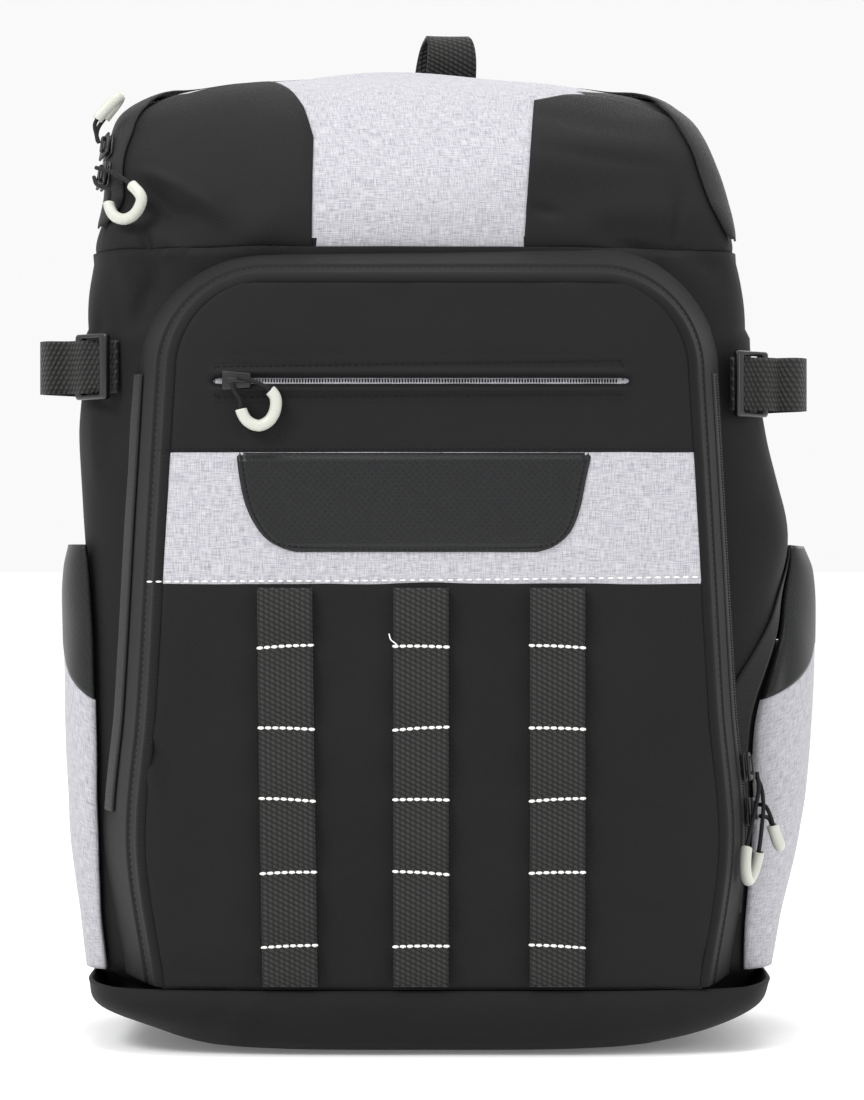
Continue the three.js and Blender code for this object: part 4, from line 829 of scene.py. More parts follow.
def hood_at(u, v):
    level = 1 + TINY + np.clip(v / (1 - HOOD_CAP), 0, 1) * (1 - 2 * TINY)
    point = body_point(round_from_back(u), level, seam_tuck(level))
    cap = np.clip((v - (1 - HOOD_CAP)) / HOOD_CAP, 0, 1)[..., None]
    top = np.array([*HOOD_TOP, HEIGHT])
    reach = point + (top - point) * cap * CAP_CLOSED
    reach[..., 2:] = point[..., 2:] + (top[2] - point[..., 2:]) * np.sin(cap * math.pi / 2)
    return reach


sheet("base_boot", 220, 44, boot_at, TWILL, CLOTH, weld=True)
sheet("main_body", 260, 110, body_at, TWILL, CLOTH, weld=True)
hood = sheet("hood", 260, 110, hood_at, HEATHER, CLOTH, weld=True)

hood.data.materials.append(TWILL)
spots = np.array([face.center for face in hood.data.polygons]) / MM
rise = (spots[:, 2] - HOOD_SEAM) / (HEIGHT - HOOD_SEAM)
section = body_section(1 + np.interp(rise, HOOD_ROWS["rise"], HOOD_ROWS["step"]))
middle, half = (section["right"] - section["left"]) / 2, (section["right"] + section["left"]) / 2
aside = np.abs(spots[:, 0] - middle) / half
behind = (spots[:, 1] - (section["back"] + section["front"]) / 2) / ((section["back"] - section["front"]) / 2)
facing = -behind > aside
strip = (spots[:, 0] > HOOD_LEFT * HALF_WIDTH) & (spots[:, 0] < HOOD_RIGHT * HALF_WIDTH) & facing
wall = (~facing & (rise < 0.86)) | (~strip & (rise < 0.05))
hood.data.polygons.foreach_set("material_index", wall.astype(np.int32))

print("faces of the hood in black:", int(wall.sum()), "of", len(wall))

# %% [markdown]
# ## Side panels of the hood
#
# Two black panels are sewn over the grey hood, each with its own curved top edge. Each is a sheet over the same
# surface, a little further out, that turns round the corner of the pack and ends under the main zip. Their lower
# edges are drawn in at the seam with the hood, so that no grey shows below them.

# %% Side panels of the hood
LEFT_PANEL_ROWS = table("across top", [
    [0.00, 0.66], [0.22, 0.86], [0.50, 0.93], [0.72, 0.92], [0.88, 0.84], [0.96, 0.70], [1.00, 0.50],
])
RIGHT_PANEL_ROWS = table("across top", [
    [0.00, 0.74], [0.20, 0.80], [0.50, 0.80], [0.80, 0.72], [1.00, 0.56],
])


def turn_at_x(section, x):
    """The turn on the front side of a section where it has this x"""
    half = (section["right"] + section["left"]) / 2
    share = (x - (section["right"] - section["left"]) / 2) / half
    return (share / (1 - np.abs(share) ** section["square"]) ** (1 / section["square"]) + 1) / 2


def left_panel_at(u, v):
    level = 1 + TINY / 4 + v * along(LEFT_PANEL_ROWS, "across", "top", u)
    edge = turn_at_x(body_section(level), HOOD_LEFT * HALF_WIDTH)
    return body_point(lerp(-PANEL_BACK, edge, u), level, PANEL_OUT * (1 + seam_tuck(level)))


def right_panel_at(u, v):
    level = 1 + TINY / 4 + v * along(RIGHT_PANEL_ROWS, "across", "top", u)
    edge = turn_at_x(body_section(level), (HOOD_RIGHT + HOOD_LEAN * (level - 1)) * HALF_WIDTH)
    return body_point(lerp(edge, 1 + PANEL_BACK, u), level, PANEL_OUT * (1 + seam_tuck(level)))


for name, at in (("hood_panel_left", left_panel_at), ("hood_panel_right", right_panel_at)):
    sheet(name, 150, 110, at, TWILL, 1.0)

# %% [markdown]
# ## Zips
#
# A zip is a ribbed tape with a coil of small teeth down its middle. The tape is a narrow sheet beside a path, with
# its ends drawn in under the seam, and the teeth are beads set along the path one by one. A bump would be cheaper,
# but the teeth catch the light, and the zips are near the eye.

# %% Zips
ZIP_TAPE, TAPE_THICK, TAPE_CROWN, COIL_PITCH, TAPE_TAPER = 22, 0.8, 0.8, 1.3, 0.05
# A tooth's length across the zip, width along it and height
MAIN_TOOTH, POCKET_TOOTH, WINDOW_TOOTH = (5.0, 0.95, 1.5), (4.0, 0.95, 1.4), (2.6, 0.95, 1.3)
MAIN_ZIP_ROWS = table("step turn level", [
    [0.00, 1.21, 1.04], [0.12, 1.22, 1.36], [0.22, 1.26, 1.60], [0.30, 1.42, 1.76], [0.38, 1.76, 1.84],
    [0.50, 2.50, 1.86], [0.62, 3.24, 1.84], [0.70, 3.58, 1.76], [0.78, 3.74, 1.60], [0.88, 3.78, 1.36],
    [1.00, 3.79, 1.10],
])


def zip_path(step):
    return along(MAIN_ZIP_ROWS, "step", "turn", step), along(MAIN_ZIP_ROWS, "step", "level", step)


def beside_path(surface, path, step, aside, out):
    """A point of the surface that lies aside from a path on it, in millimetres, and out from it"""
    u, v = path(step)
    across = (surface(u + TINY, v) - surface(u - TINY, v)) / (2 * TINY)
    up = (surface(u, v + TINY) - surface(u, v - TINY)) / (2 * TINY)
    ahead = surface(*path(step + TINY)) - surface(*path(step - TINY))
    sideways = np.cross(np.cross(across, up), ahead)
    sideways = sideways / np.linalg.norm(sideways, axis=-1, keepdims=True) * np.asarray(aside)[..., None]
    dot = lambda a, b: np.sum(a * b, axis=-1)
    uu, vv, uv = dot(across, across), dot(up, up), dot(across, up)
    det = uu * vv - uv * uv
    su, sv = dot(sideways, across), dot(sideways, up)
    return surface(u + (su * vv - sv * uv) / det, v + (sv * uu - su * uv) / det, out)


def teeth(name, line, outs, pitch, size, material):
    """Small beads along a line of points, each facing out: length across, width along, height"""
    bm = bmesh.new()
    far = np.concatenate([[0], np.cumsum(np.linalg.norm(np.diff(line, axis=0), axis=1))])
    for at in np.arange(pitch / 2, far[-1], pitch):
        place, ahead = (np.array([np.interp(at + d, far, line[:, i]) for i in range(3)]) for d in (0, pitch / 2))
        out = Vector([np.interp(at, far, outs[:, i]) for i in range(3)]).normalized()
        run = Vector(ahead - place).normalized()
        side = run.cross(out).normalized()
        basis = Matrix((side * size[0], run * size[1], out * size[2])).transposed().to_4x4()
        matrix = Matrix.Translation(Vector(place) * MM) @ Matrix.Scale(MM, 4) @ basis
        bmesh.ops.create_icosphere(bm, subdivisions=1, radius=0.5, matrix=matrix)
    return shown(bm, name, material)


def tape_height(u, edge):
    """A tape crowns from its edges to its middle"""
    return edge + TAPE_CROWN * np.sin(math.pi * np.clip(u, 0, 1)) ** 0.5


def zip_at(u, v):
    ends = np.sqrt(np.clip(np.minimum(v, 1 - v) / TAPE_TAPER, 0.05, 1))
    return beside_path(body_point, zip_path, lerp(TINY * 2, 1 - TINY * 2, v), (u - 0.5) * ZIP_TAPE * ends,
                       tape_height(u, 0.4))


sheet("main_zip", 12, 300, zip_at, TAPE, TAPE_THICK)
steps = np.linspace(0.01, 0.99, 700)
line = beside_path(body_point, zip_path, steps, 0 * steps, 1.2)
above = beside_path(body_point, zip_path, steps, 0 * steps, 2.2)
coil = teeth("main_zip_coil", line, above - line, COIL_PITCH, MAIN_TOOTH, COIL)
print("faces of the main zip's teeth:", len(coil.data.polygons))

# %% [markdown]
# ## Front pocket
#
# The pocket is a box of cloth on the pack's front. Its side wall starts with a round welt against the face, and the
# face is three panels sewn one above another, with a closed zip window in the upper one and a leather patch on the
# grey band. All of them are read from the same face, so that their seams meet. The window's two soft lips and its
# frame are drawn in the panel itself: they are folds of the same cloth.

# %% Front pocket
WELT, WELT_OUT, WELT_SHARE, WELT_SETTLE = 5.0, 0.6, 0.12, 0.2
GROOVE_DEPTH, GROOVE_AT, GROOVE_WIDTH = 1.6, 0.17, 0.02


def pocket_wall_at(u, v):
    """The welt turns a quarter round in the first share of v, and the wall runs back from it"""
    q = lerp(TINY - 1, 1 - TINY, u)
    side = np.where(q < 0, -1.0, 1.0)
    turn = np.clip(v / WELT_SHARE, 0, 1) * math.pi / 2
    x, z = panel_outline(1 - np.abs(q), side, WELT * (1 - np.sin(turn)))
    y = bare_gusset(q, 0 * q)[..., 1] + WELT * (1 - np.cos(turn)) - WELT_OUT
    depth = (v - WELT_SHARE) / (1 - WELT_SHARE)
    inward = np.clip(depth, 0, 1)
    wall, raised = gusset_point(q, inward), gusset_point(q, inward, 1.0)
    groove = GROOVE_DEPTH * np.exp(-((depth - GROOVE_AT) / GROOVE_WIDTH) ** 2)
    settled_wall = wall - (raised - wall) * groove[..., None]
    settled_wall[..., 1] += (WELT - WELT_OUT) * (1 - np.clip(depth / WELT_SETTLE, 0, 1))
    return np.where((v < WELT_SHARE)[..., None], np.stack([x, y, z], -1), settled_wall)


sheet("pocket_gusset", 420, 60, pocket_wall_at, SMOOTH_CLOTH, CLOTH)

# %% [markdown]
# ## Zips of the front pocket
#
# A zip runs down each side of the pocket, sewn into its wall. The tape is a band between two depths of the wall,
# and its teeth stand along one line of the band. Both come from the wall's own surface, so that they follow its
# curve round the shoulder without a gap.

# %% Zips of the front pocket
ZIP_NEAR, ZIP_FAR, LEFT_ZIP_END, RIGHT_ZIP_END = 0.5, 0.72, 108, 92


COIL_AT = 0.45


def pocket_zip(name, side, low):
    share = lambda z: (z - BOOT_HEIGHT - SEAM) / HALF_GIRTH
    round_pocket = lambda v: side * (1 - lerp(share(low), share(CORNER_LEVEL), v))

    def at(u, v):
        return gusset_point(round_pocket(v), lerp(ZIP_NEAR, ZIP_FAR, u), tape_height(u, 0.35))

    sheet(name, 12, 160, at, TAPE, TAPE_THICK)
    v = np.linspace(0, 1, 300)
    line = at(0 * v + COIL_AT, v)
    above = gusset_point(round_pocket(v), lerp(ZIP_NEAR, ZIP_FAR, COIL_AT), 2.1)
    teeth(name + "_coil", line, above - line, COIL_PITCH, POCKET_TOOTH, COIL)


pocket_zip("pocket_zip_left", -1, LEFT_ZIP_END)
pocket_zip("pocket_zip_right", 1, RIGHT_ZIP_END)

# %% [markdown]
# ## Face and window
#
# The face is three panels sewn edge to edge, black, grey and black. Each turns back at its edges, as cloth does at
# a seam. The upper one holds a closed zip window: two soft lips with a sunk coil between them, inside a raised
# frame. They are drawn in the height of the panel, since cutting a slot would only show what is behind it.

# %% Face and window
WINDOW_LENGTH, WINDOW_SHIFT, WINDOW_LEVEL = 184, -5, 308
LIP_AT, LIP_OUT, MOUTH_IN, FRAME_AT = 3.9, 2.2, 3.2, 9.2
WINDOW_TAPE, WINDOW_SUNK = 4, 1.9
EDGE, EDGE_TURN = CLOTH + SEAM + 1.5, 1.3


def face_at(u, v, low, high):
    """The face between two heights, its sides on the panel's outline and its edges turned back"""
    high = min(high, PANEL_TOP - EDGE)
    arc_high = math.asin(min(max((high - CORNER_LEVEL) / (PANEL_CORNER - EDGE), 0), 1))
    bend = 0.62 if arc_high > 0 else 1.0
    angle = np.clip((v - bend) / max(1 - bend, 1e-6), 0, 1) * arc_high
    radius = PANEL_CORNER - EDGE
    z = np.where(v < bend, lerp(low, min(high, CORNER_LEVEL), v / bend), CORNER_LEVEL + radius * np.sin(angle))
    half = np.where(v < bend, panel_half(z) - EDGE, PANEL_FLAT + radius * np.cos(angle))
    x = (2 * u - 1) * half
    point = face_point(x, z)
    edge = np.minimum(np.minimum(z - low, high - z), half - np.abs(x))
    point[..., 1] += EDGE_TURN * np.exp(-(np.clip(edge, 0, None) / 1.4) ** 1.5)
    return point


def upper_at(u, v):
    point = face_at(u, v, BAND_HIGH + SEAM / 2, PANEL_TOP)
    dx = np.clip(np.abs(point[..., 0] - WINDOW_SHIFT) - WINDOW_LENGTH / 2, 0, None) / 3
    dz = point[..., 2] - WINDOW_LEVEL
    away = np.abs(dz)
    lips = LIP_OUT * np.exp(-((away - LIP_AT) / 1.9) ** 2) - MOUTH_IN * np.exp(-(dz / 1.7) ** 2)
    frame_line = np.exp(-((away - FRAME_AT) / 0.6) ** 2) + 0.6 * np.exp(-(away / FRAME_AT) ** 8)
    point[..., 1] -= (lips + 0.5 * frame_line) * np.exp(-dx * dx)
    return point


FRONT_PIECES = [
    ("front_panel_upper", 220, 150, upper_at, TWILL, "black_cloth"),
    ("front_band", 200, 60, lambda u, v: face_at(u, v, BAND_LOW + SEAM / 2, BAND_HIGH - SEAM / 2), HEATHER,
     "grey_cloth"),
    ("front_panel_lower", 220, 150, lambda u, v: face_at(u, v, BOOT_HEIGHT + SEAM, BAND_LOW - SEAM / 2), TWILL,
     "black_cloth"),
]
for name, across, upward, at, material, slot in FRONT_PIECES:
    sheet(name, across, upward, at, material, CLOTH)


def window_tape_at(u, v):
    x, z = WINDOW_SHIFT + (u - 0.5) * (WINDOW_LENGTH - 1), WINDOW_LEVEL + (v - 0.5) * WINDOW_TAPE
    point = face_point(x, z)
    point[..., 1] += WINDOW_SUNK
    return point


sheet("window_zip", 120, 6, window_tape_at, SMOOTH_CLOTH, 0.6)
u = np.linspace(0.01, 0.99, 300)
line = window_tape_at(u, 0 * u + 0.5) - (0, 0.5, 0)
teeth("window_zip_coil", line, np.tile((0.0, -1.0, 0.0), (len(u), 1)), COIL_PITCH, WINDOW_TOOTH, COIL)

# %% [markdown]
# ## Leather patch
#
# A piece of perforated leather is sewn on the grey band, rounded at its lower corners, with its upper edge under the
# seam. Its outline is a table of left and right edges. The holes are in the material, each a dent with painted shade
# in it, kept off the sewn border by an attribute of the mesh named inner: thousands of real holes would cost far more
# than they show.

# %% Leather patch
PATCH_LOW, PATCH_OUT, PATCH_TUCK, PATCH_SEWN = 230, 1.5, 1.9, 2.4
PATCH_ROWS = table("rise left right", [
    [0.00, -62.0, 48.0], [0.03, -67.0, 53.0], [0.10, -73.5, 58.5], [0.22, -79.0, 63.5], [0.45, -84.5, 67.5],
    [0.72, -87.5, 70.0], [1.00, -89.2, 72.8],
])


def patch_at(u, v):
    left, right = along(PATCH_ROWS, "rise", "left", v), along(PATCH_ROWS, "rise", "right", v)
    z = lerp(PATCH_LOW, BAND_HIGH + 1.2, v)
    x = lerp(left, right, u)
    point = face_point(x, z)
    edge = np.minimum(np.minimum(x - left, right - x), z - PATCH_LOW)
    tuck = np.clip((z - BAND_HIGH + 2.5) / 3.0, 0, 1)
    sunk = 0.9 * np.exp(-(edge / 0.8) ** 2) + 0.5 * np.exp(-((edge - PATCH_SEWN) / 0.5) ** 2)
    point[..., 1] -= PATCH_OUT - PATCH_TUCK * tuck - sunk
    return point


patch = sheet("leather_patch", 260, 90, patch_at, LEATHER, 1.0)
inner = patch.data.attributes.new("inner", "FLOAT", "POINT")
spots = np.array([vert.co for vert in patch.data.vertices]) / MM
rise = (spots[:, 2] - PATCH_LOW) / (BAND_HIGH - PATCH_LOW)
room = np.minimum(spots[:, 0] - along(PATCH_ROWS, "rise", "left", rise),
                  along(PATCH_ROWS, "rise", "right", rise) - spots[:, 0])
inner.data.foreach_set("value", np.clip(np.minimum(room, spots[:, 2] - PATCH_LOW) - 3.0, 0, 1))

# %% [markdown]
# ## Daisy chains
#
# Three straps of webbing run down the front to hang kit from. Each is sewn down at bar tacks and stands a little
# off the cloth between them. One long strip follows the face and bulges by a sine between two tacks, so that the
# webbing stays in one piece as the real one does.

# %% Daisy chains
CHAIN_PITCH, CHAIN_SHIFT, CHAIN_BULGE = 62, -5, 3.4
TACK_SHARES = np.array([1, 0.853, 0.648, 0.470, 0.287, 0.102, 0])[::-1]
CHAIN_FOOT, CHAIN_TOP = BOOT_HEIGHT + CLOTH, BAND_LOW - SEAM
CHAIN_LEAN = table("rise shift", [[0, 2.5], [0.5, 1.2], [1, 0]])


def chain_at(u, v, middle, lean):
    z = lerp(CHAIN_FOOT, CHAIN_TOP, v)
    loop = np.clip(np.searchsorted(TACK_SHARES, v, side="right") - 1, 0, len(TACK_SHARES) - 2)
    share = (v - TACK_SHARES[loop]) / (TACK_SHARES[loop + 1] - TACK_SHARES[loop])
    bulge = CHAIN_BULGE * np.sin(np.pi * np.clip(share, 0, 1)) ** 0.8
    x = middle + (u - 0.5) * WEBBING + lean * along(CHAIN_LEAN, "rise", "shift", v)
    point = face_point(x, z)
    point[..., 1] -= SEAM + WEBBING_THICK + bulge
    return point


# Name, middle and lean of each chain
CHAINS = [("left", CHAIN_SHIFT - CHAIN_PITCH, 1.0), ("centre", CHAIN_SHIFT, 0.0),
          ("right", CHAIN_SHIFT + CHAIN_PITCH, 0.0)]
for name, middle, lean in CHAINS:
    sheet("daisy_chain_" + name, 14, 240, lambda u, v: chain_at(u, v, middle, lean), WEB, WEBBING_THICK)
print("chains:", len(CHAINS), "with", len(TACK_SHARES) - 2, "tacks each")

# %% [markdown]
# ## Stitches
#
# White bar tacks hold the chains, and a white running stitch closes the grey band. Dark stitches run beside the
# seams. A line of dashes in a material would lie flat, and thick thread doesn't. So each stitch is a bead drawn out
# along its seam and half sunk in the cloth, made by the same function as the teeth of the zips.

# %% Stitches
def face_line(points, out=0.0):
    """A line over the front, through points given by x and z"""
    path, _ = smooth_line(np.array([(x, 0, z) for x, z in points]), 200)
    line = face_point(path[:, 0], path[:, 2])
    line[:, 1] -= out
    return line


# Pitch, then a stitch's width, length and height
TACK, RUNNING, FINE = (3.3, (1.8, 3.5, 1.5)), (4.3, (1.0, 3.3, 0.8)), (3.0, (0.55, 2.4, 0.5))
PATCH_STITCH, WELT_STITCH = (2.6, (0.5, 2.0, 0.5)), (3.0, (0.5, 2.3, 0.5))
TACK_HALF, TACK_OUT, TACK_TILT = 13.2, 2.2, 0.8


def stitches(name, line, kind, material):
    return teeth(name, line, np.tile((0.0, -1.0, 0.0), (len(line), 1)), *kind, material)


for k, (name, middle, lean) in enumerate(CHAINS):
    for share in TACK_SHARES[1:-1]:
        z = lerp(CHAIN_FOOT, CHAIN_TOP, share)
        x = middle + lean * float(along(CHAIN_LEAN, "rise", "shift", share))
        tilt = TACK_TILT * math.sin(9 * share + 2 * k)
        row = face_line([(x - TACK_HALF, z - tilt), (x, z + 0.3), (x + TACK_HALF, z + tilt)], TACK_OUT)
        stitches(f"tack_{name}_{round(share * 100)}", row, TACK, THREAD)

stitches("band_stitch", face_line([(-131, 216.4), (0, 217.2), (122, 218.6)], 0.1), RUNNING, THREAD)
stitches("upper_stitch", face_line([(-126, 276.6), (122, 276.9)], 0.1), FINE, DARK_THREAD)
WINDOW_SEAMS = [
    [(-99, 314.5), (87, 317.5)], [(-99, 300.5), (87, 301.5)],
    [(-99, 300.5), (-99, 314.5)], [(87, 301.5), (87, 317.5)],
]
for k, corners in enumerate(WINDOW_SEAMS):
    stitches(f"window_stitch_{k}", face_line(corners, 0.75), FINE, DARK_THREAD)

beside = lambda column, inset, v: (float(along(PATCH_ROWS, "rise", column, v)) + inset, lerp(PATCH_LOW, BAND_HIGH, v))
down = [beside("left", PATCH_SEWN, v) for v in (1, 0.7, 0.4, 0.2, 0.1)]
up = [beside("right", -PATCH_SEWN, v) for v in (0.1, 0.2, 0.4, 0.7, 1)]
foot = [(-62, PATCH_LOW + PATCH_SEWN), (48, PATCH_LOW + PATCH_SEWN)]
stitches("patch_stitch", face_line(down + foot + up, 1.5), PATCH_STITCH, DARK_THREAD)
q = np.linspace(-0.995, 0.995, 900)
stitches("welt_stitch", pocket_wall_at((q + 1) / 2, 0 * q + 0.22), WELT_STITCH, DARK_THREAD)
LOOSE_END = [(-19.5, -104.6, 192.8), (-18.6, -106.4, 190.2), (-16.4, -106.9, 188.4), (-15.6, -105.9, 186.8)]
curve_piece("loose_thread", smooth_line(LOOSE_END, 24)[0], 0.28, THREAD)
seams = [piece for piece in bpy.data.objects if "stitch" in piece.name or "tack" in piece.name]
print("lines of stitches:", len(seams))

# %% [markdown]
# ## Side pockets
#
# A slack sheet stands off the body on each side, gathered at its mouth, with a perforated leather trim above. Both
# are read from one bulging surface, the trim above the join and the grey cloth below it. The pocket on the right is
# fuller than the other, as in the photograph, and a slanted zip runs down in front of it.

# %% Side pockets
POCKET_MOUTH, POCKET_FOOT, TRIM_FRONT, TRIM_BACK = 233, 33, 160, 186
SIDE_POCKET_ROWS = table("rise bulge left right", [
    [0.00, 0.20, 0.10, 0.07], [0.10, 0.40, 0.11, 0.07], [0.30, 0.75, 0.12, 0.08], [0.62, 0.95, 0.13, 0.09],
    [0.86, 1.00, 0.15, 0.28], [0.95, 0.85, 0.16, 0.36], [1.00, 0.55, 0.17, 0.40],
])
SIDE_BACK_TURN, LEFT_FULLNESS, RIGHT_FULLNESS = 0.86, 10, 19
POCKET_THICK, POCKET_OUT, TRIM_OUT = 1.8, 2.2, 2.4
SIDE_ZIP_FOOT, SIDE_ZIP_NEAR, SIDE_ZIP_FAR, SIDE_ZIP_OUT = 60, -0.16, -0.02, 1.5


def side_pocket_point(side, share, z, out):
    rise = (z - POCKET_FOOT) / (POCKET_MOUTH - POCKET_FOOT)
    turn = lerp(along(SIDE_POCKET_ROWS, "rise", "left" if side < 0 else "right", rise), SIDE_BACK_TURN, share)
    fullness = (LEFT_FULLNESS if side < 0 else RIGHT_FULLNESS) * along(SIDE_POCKET_ROWS, "rise", "bulge", rise)
    bulge = fullness * np.sin(np.pi * np.clip(share, 0, 1)) ** 0.6
    return body_point(-turn if side < 0 else 1 + turn, level_at(z), bulge + out)


def join(share):
    """The height where the leather meets the cloth"""
    return lerp(TRIM_FRONT, TRIM_BACK, np.minimum(share * 3, 1))


for name, side in (("left", -1), ("right", 1)):
    sheet("side_pocket_" + name, 90, 110, lambda u, v: side_pocket_point(
        side, u, lerp(POCKET_FOOT, join(u) - SEAM, v), POCKET_OUT), HEATHER, POCKET_THICK)
    trim = sheet("side_trim_" + name, 90, 50, lambda u, v: side_pocket_point(
        side, u, lerp(join(u), POCKET_MOUTH, v), TRIM_OUT), LEATHER, POCKET_THICK)
    mask = trim.data.attributes.new("inner", "FLOAT", "POINT")
    mask.data.foreach_set("value", np.ones(len(trim.data.vertices)))


def side_zip_at(u, v):
    return side_pocket_point(1, lerp(SIDE_ZIP_NEAR, SIDE_ZIP_FAR, u), lerp(SIDE_ZIP_FOOT, POCKET_MOUTH, v),
                             SIDE_ZIP_OUT)


sheet("side_zip", 8, 120, side_zip_at, TAPE, TAPE_THICK)

# %% [markdown]
# ## Straps and locks
#
# A webbing strap is flat: it bends easily across its width and hardly at all in its plane. So a strap follows a
# smooth line, and the direction of its width turns slowly from one end to the other. A ladder lock is a moulded
# frame with one window that the strap passes through. It is cut from a box by an inset and a bridge, and a bevel
# rounds its edges like a moulding's.

# %% Straps and locks
LOCK_WIDTH, LOCK_HEIGHT, LOCK_BAR, LOCK_THICK, LOCK_TURN, LOCK_SPAN = 23, 31, 5, 3.6, 0.1, 0.07
STRAP_LEVEL_LEFT, STRAP_LEVEL_RIGHT, STRAP_REACH = 317, 309, 19
# Where a strap runs through its lock: ahead in widths of the lock, and out in thicknesses of the strap
STRAP_ROWS = [(-0.55, 0.7), (-0.26, 0.7), (0, 2.4), (0.23, 4.6), (0.62, 4.8)]
STRAP_SEAT = STRAP_ROWS[0][1]
# How far a free loop lies in from its tip and back from the lock, and how far its end lies off the body's side
LOOP_FRONT, LOOP_BACK = [(5, 4), (0, 14), (4, 26)], [(5, 44), (1.6, 60)]
LOCK_RISE, LOCK_BEVEL, RIBBON_STEPS, RIBBON_CELLS = 2.55, 1.1, 160, 12


def unit(v):
    v = np.asarray(v, float)
    return v / np.linalg.norm(v)


def ribbon(name, centres, side_from, side_to, narrow=0.0):
    """Webbing along a line, whose width turns from one direction to another. narrow pinches its middle"""
    line, _ = smooth_line(centres, RIBBON_STEPS + 1)
    ahead = np.gradient(line, axis=0)
    ahead /= np.linalg.norm(ahead, axis=1, keepdims=True)
    share = np.linspace(0, 1, RIBBON_STEPS + 1)
    side = lerp(np.asarray(side_from, float), np.asarray(side_to, float), share[:, None] ** 3)
    side -= ahead * np.sum(side * ahead, axis=1)[:, None]
    side /= np.linalg.norm(side, axis=1, keepdims=True)
    normal = np.cross(ahead, side)

    def at(u, v):
        pick = lambda rows: np.stack([np.interp(v, share, rows[:, i]) for i in range(3)], -1)
        wide = (u - 0.5) * WEBBING * (1 - narrow * np.exp(-((v - 0.45) / 0.16) ** 2))
        return pick(line) + pick(side) * wide[..., None] + pick(normal) * WEBBING_THICK / 2

    return sheet(name, RIBBON_CELLS, RIBBON_STEPS, at, WEB, WEBBING_THICK)


def bevelled_box(bm, size, middle, bevel):
    matrix = Matrix.Translation(middle) @ Matrix.Diagonal((*size, 1))
    made = bmesh.ops.create_cube(bm, size=1, matrix=matrix)
    edges = list({edge for vert in made["verts"] for edge in vert.link_edges})
    bmesh.ops.bevel(bm, geom=edges, offset=bevel, segments=3, affect="EDGES", profile=0.5)


def moulded(bm, name, centre, ahead, up):
    """A plastic piece, drawn in millimetres round its own middle, turned and put in its place"""
    basis = Matrix((ahead, up.cross(ahead), up)).transposed().to_4x4()
    bmesh.ops.transform(bm, verts=bm.verts,
                        matrix=Matrix.Scale(MM, 4) @ Matrix.Translation(Vector(centre)) @ basis)
    piece = shown(bm, name, PLASTIC)
    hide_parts(name)


def ladder_lock(name, centre, ahead, up):
    """A frame whose width lies along ahead and whose height lies along up"""
    bm = bmesh.new()
    bmesh.ops.create_cube(bm, size=1)
    for vert in bm.verts:
        vert.co = Vector((vert.co.x * LOCK_WIDTH, vert.co.y * LOCK_THICK, vert.co.z * LOCK_HEIGHT))
    caps = [face for face in bm.faces if abs(face.normal.y) > 0.9]
    bmesh.ops.inset_individual(bm, faces=caps, thickness=2)
    for face in caps:
        for vert in face.verts:
            vert.co.x = math.copysign(LOCK_WIDTH / 2 - LOCK_BAR, vert.co.x)
            vert.co.z = math.copysign(WEBBING / 2 + 2 * SEAM, vert.co.z)
    loops = [list(face.edges) for face in caps]
    bmesh.ops.delete(bm, geom=caps, context="FACES_ONLY")
    bmesh.ops.bridge_loops(bm, edges=loops[0] + loops[1])
    bmesh.ops.recalc_face_normals(bm, faces=bm.faces)
    bmesh.ops.bevel(bm, geom=bm.edges[:], offset=LOCK_BEVEL, segments=3, affect="EDGES", profile=0.5)
    moulded(bm, name, centre, Vector(unit(ahead)), Vector(unit(up)))


def box_middle(name):
    low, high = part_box(name)
    return (np.array(low) + np.array(high)) / 2 / MM

# %% [markdown]
# ## Side straps
#
# A strap on each side holds a bat. It comes out of its lock, loops free at the side and is sewn down behind. Its
# place is read from the body beside the lock, and its level and the reach of its loop from the photograph.

# %% Side straps
for name, side, z in (("left", -1, STRAP_LEVEL_LEFT), ("right", 1, STRAP_LEVEL_RIGHT)):
    turn = -LOCK_TURN if side < 0 else 1 + LOCK_TURN
    seat = body_point(turn, level_at(z))
    chord = body_point(turn + side * LOCK_SPAN, level_at(z)) - body_point(turn - side * LOCK_SPAN, level_at(z))
    ahead = unit(chord * (1, 1, 0))
    out = unit(np.cross(ahead, (0, 0, side)))
    centre = box_middle("ladder_lock_" + name)
    low = centre - out * LOCK_RISE * WEBBING_THICK
    line = [low + ahead * a * LOCK_WIDTH + out * o * WEBBING_THICK for a, o in STRAP_ROWS]
    edge = body_point(-0.5 if side < 0 else 1.5, level_at(z))
    tip = edge[0] + side * STRAP_REACH
    line += [(tip - side * inward, seat[1] + back, z) for inward, back in LOOP_FRONT]
    line += [(edge[0] + side * outward, seat[1] + back, z) for outward, back in LOOP_BACK]
    ribbon("side_strap_" + name, line, (0, 0, 1), (0, 0, 1))
    ladder_lock("ladder_lock_" + name, centre, ahead, (0, 0, 1))
    print(f"side_strap_{name}: loop stands {abs(tip):.0f} mm from the middle")

# %% [markdown]
# ## Haul loop
#
# The haul loop is one length of webbing sewn in at the top of the back. It stands up by its own stiffness and is
# pinched a little where a hand would fold it, so it narrows in the middle.

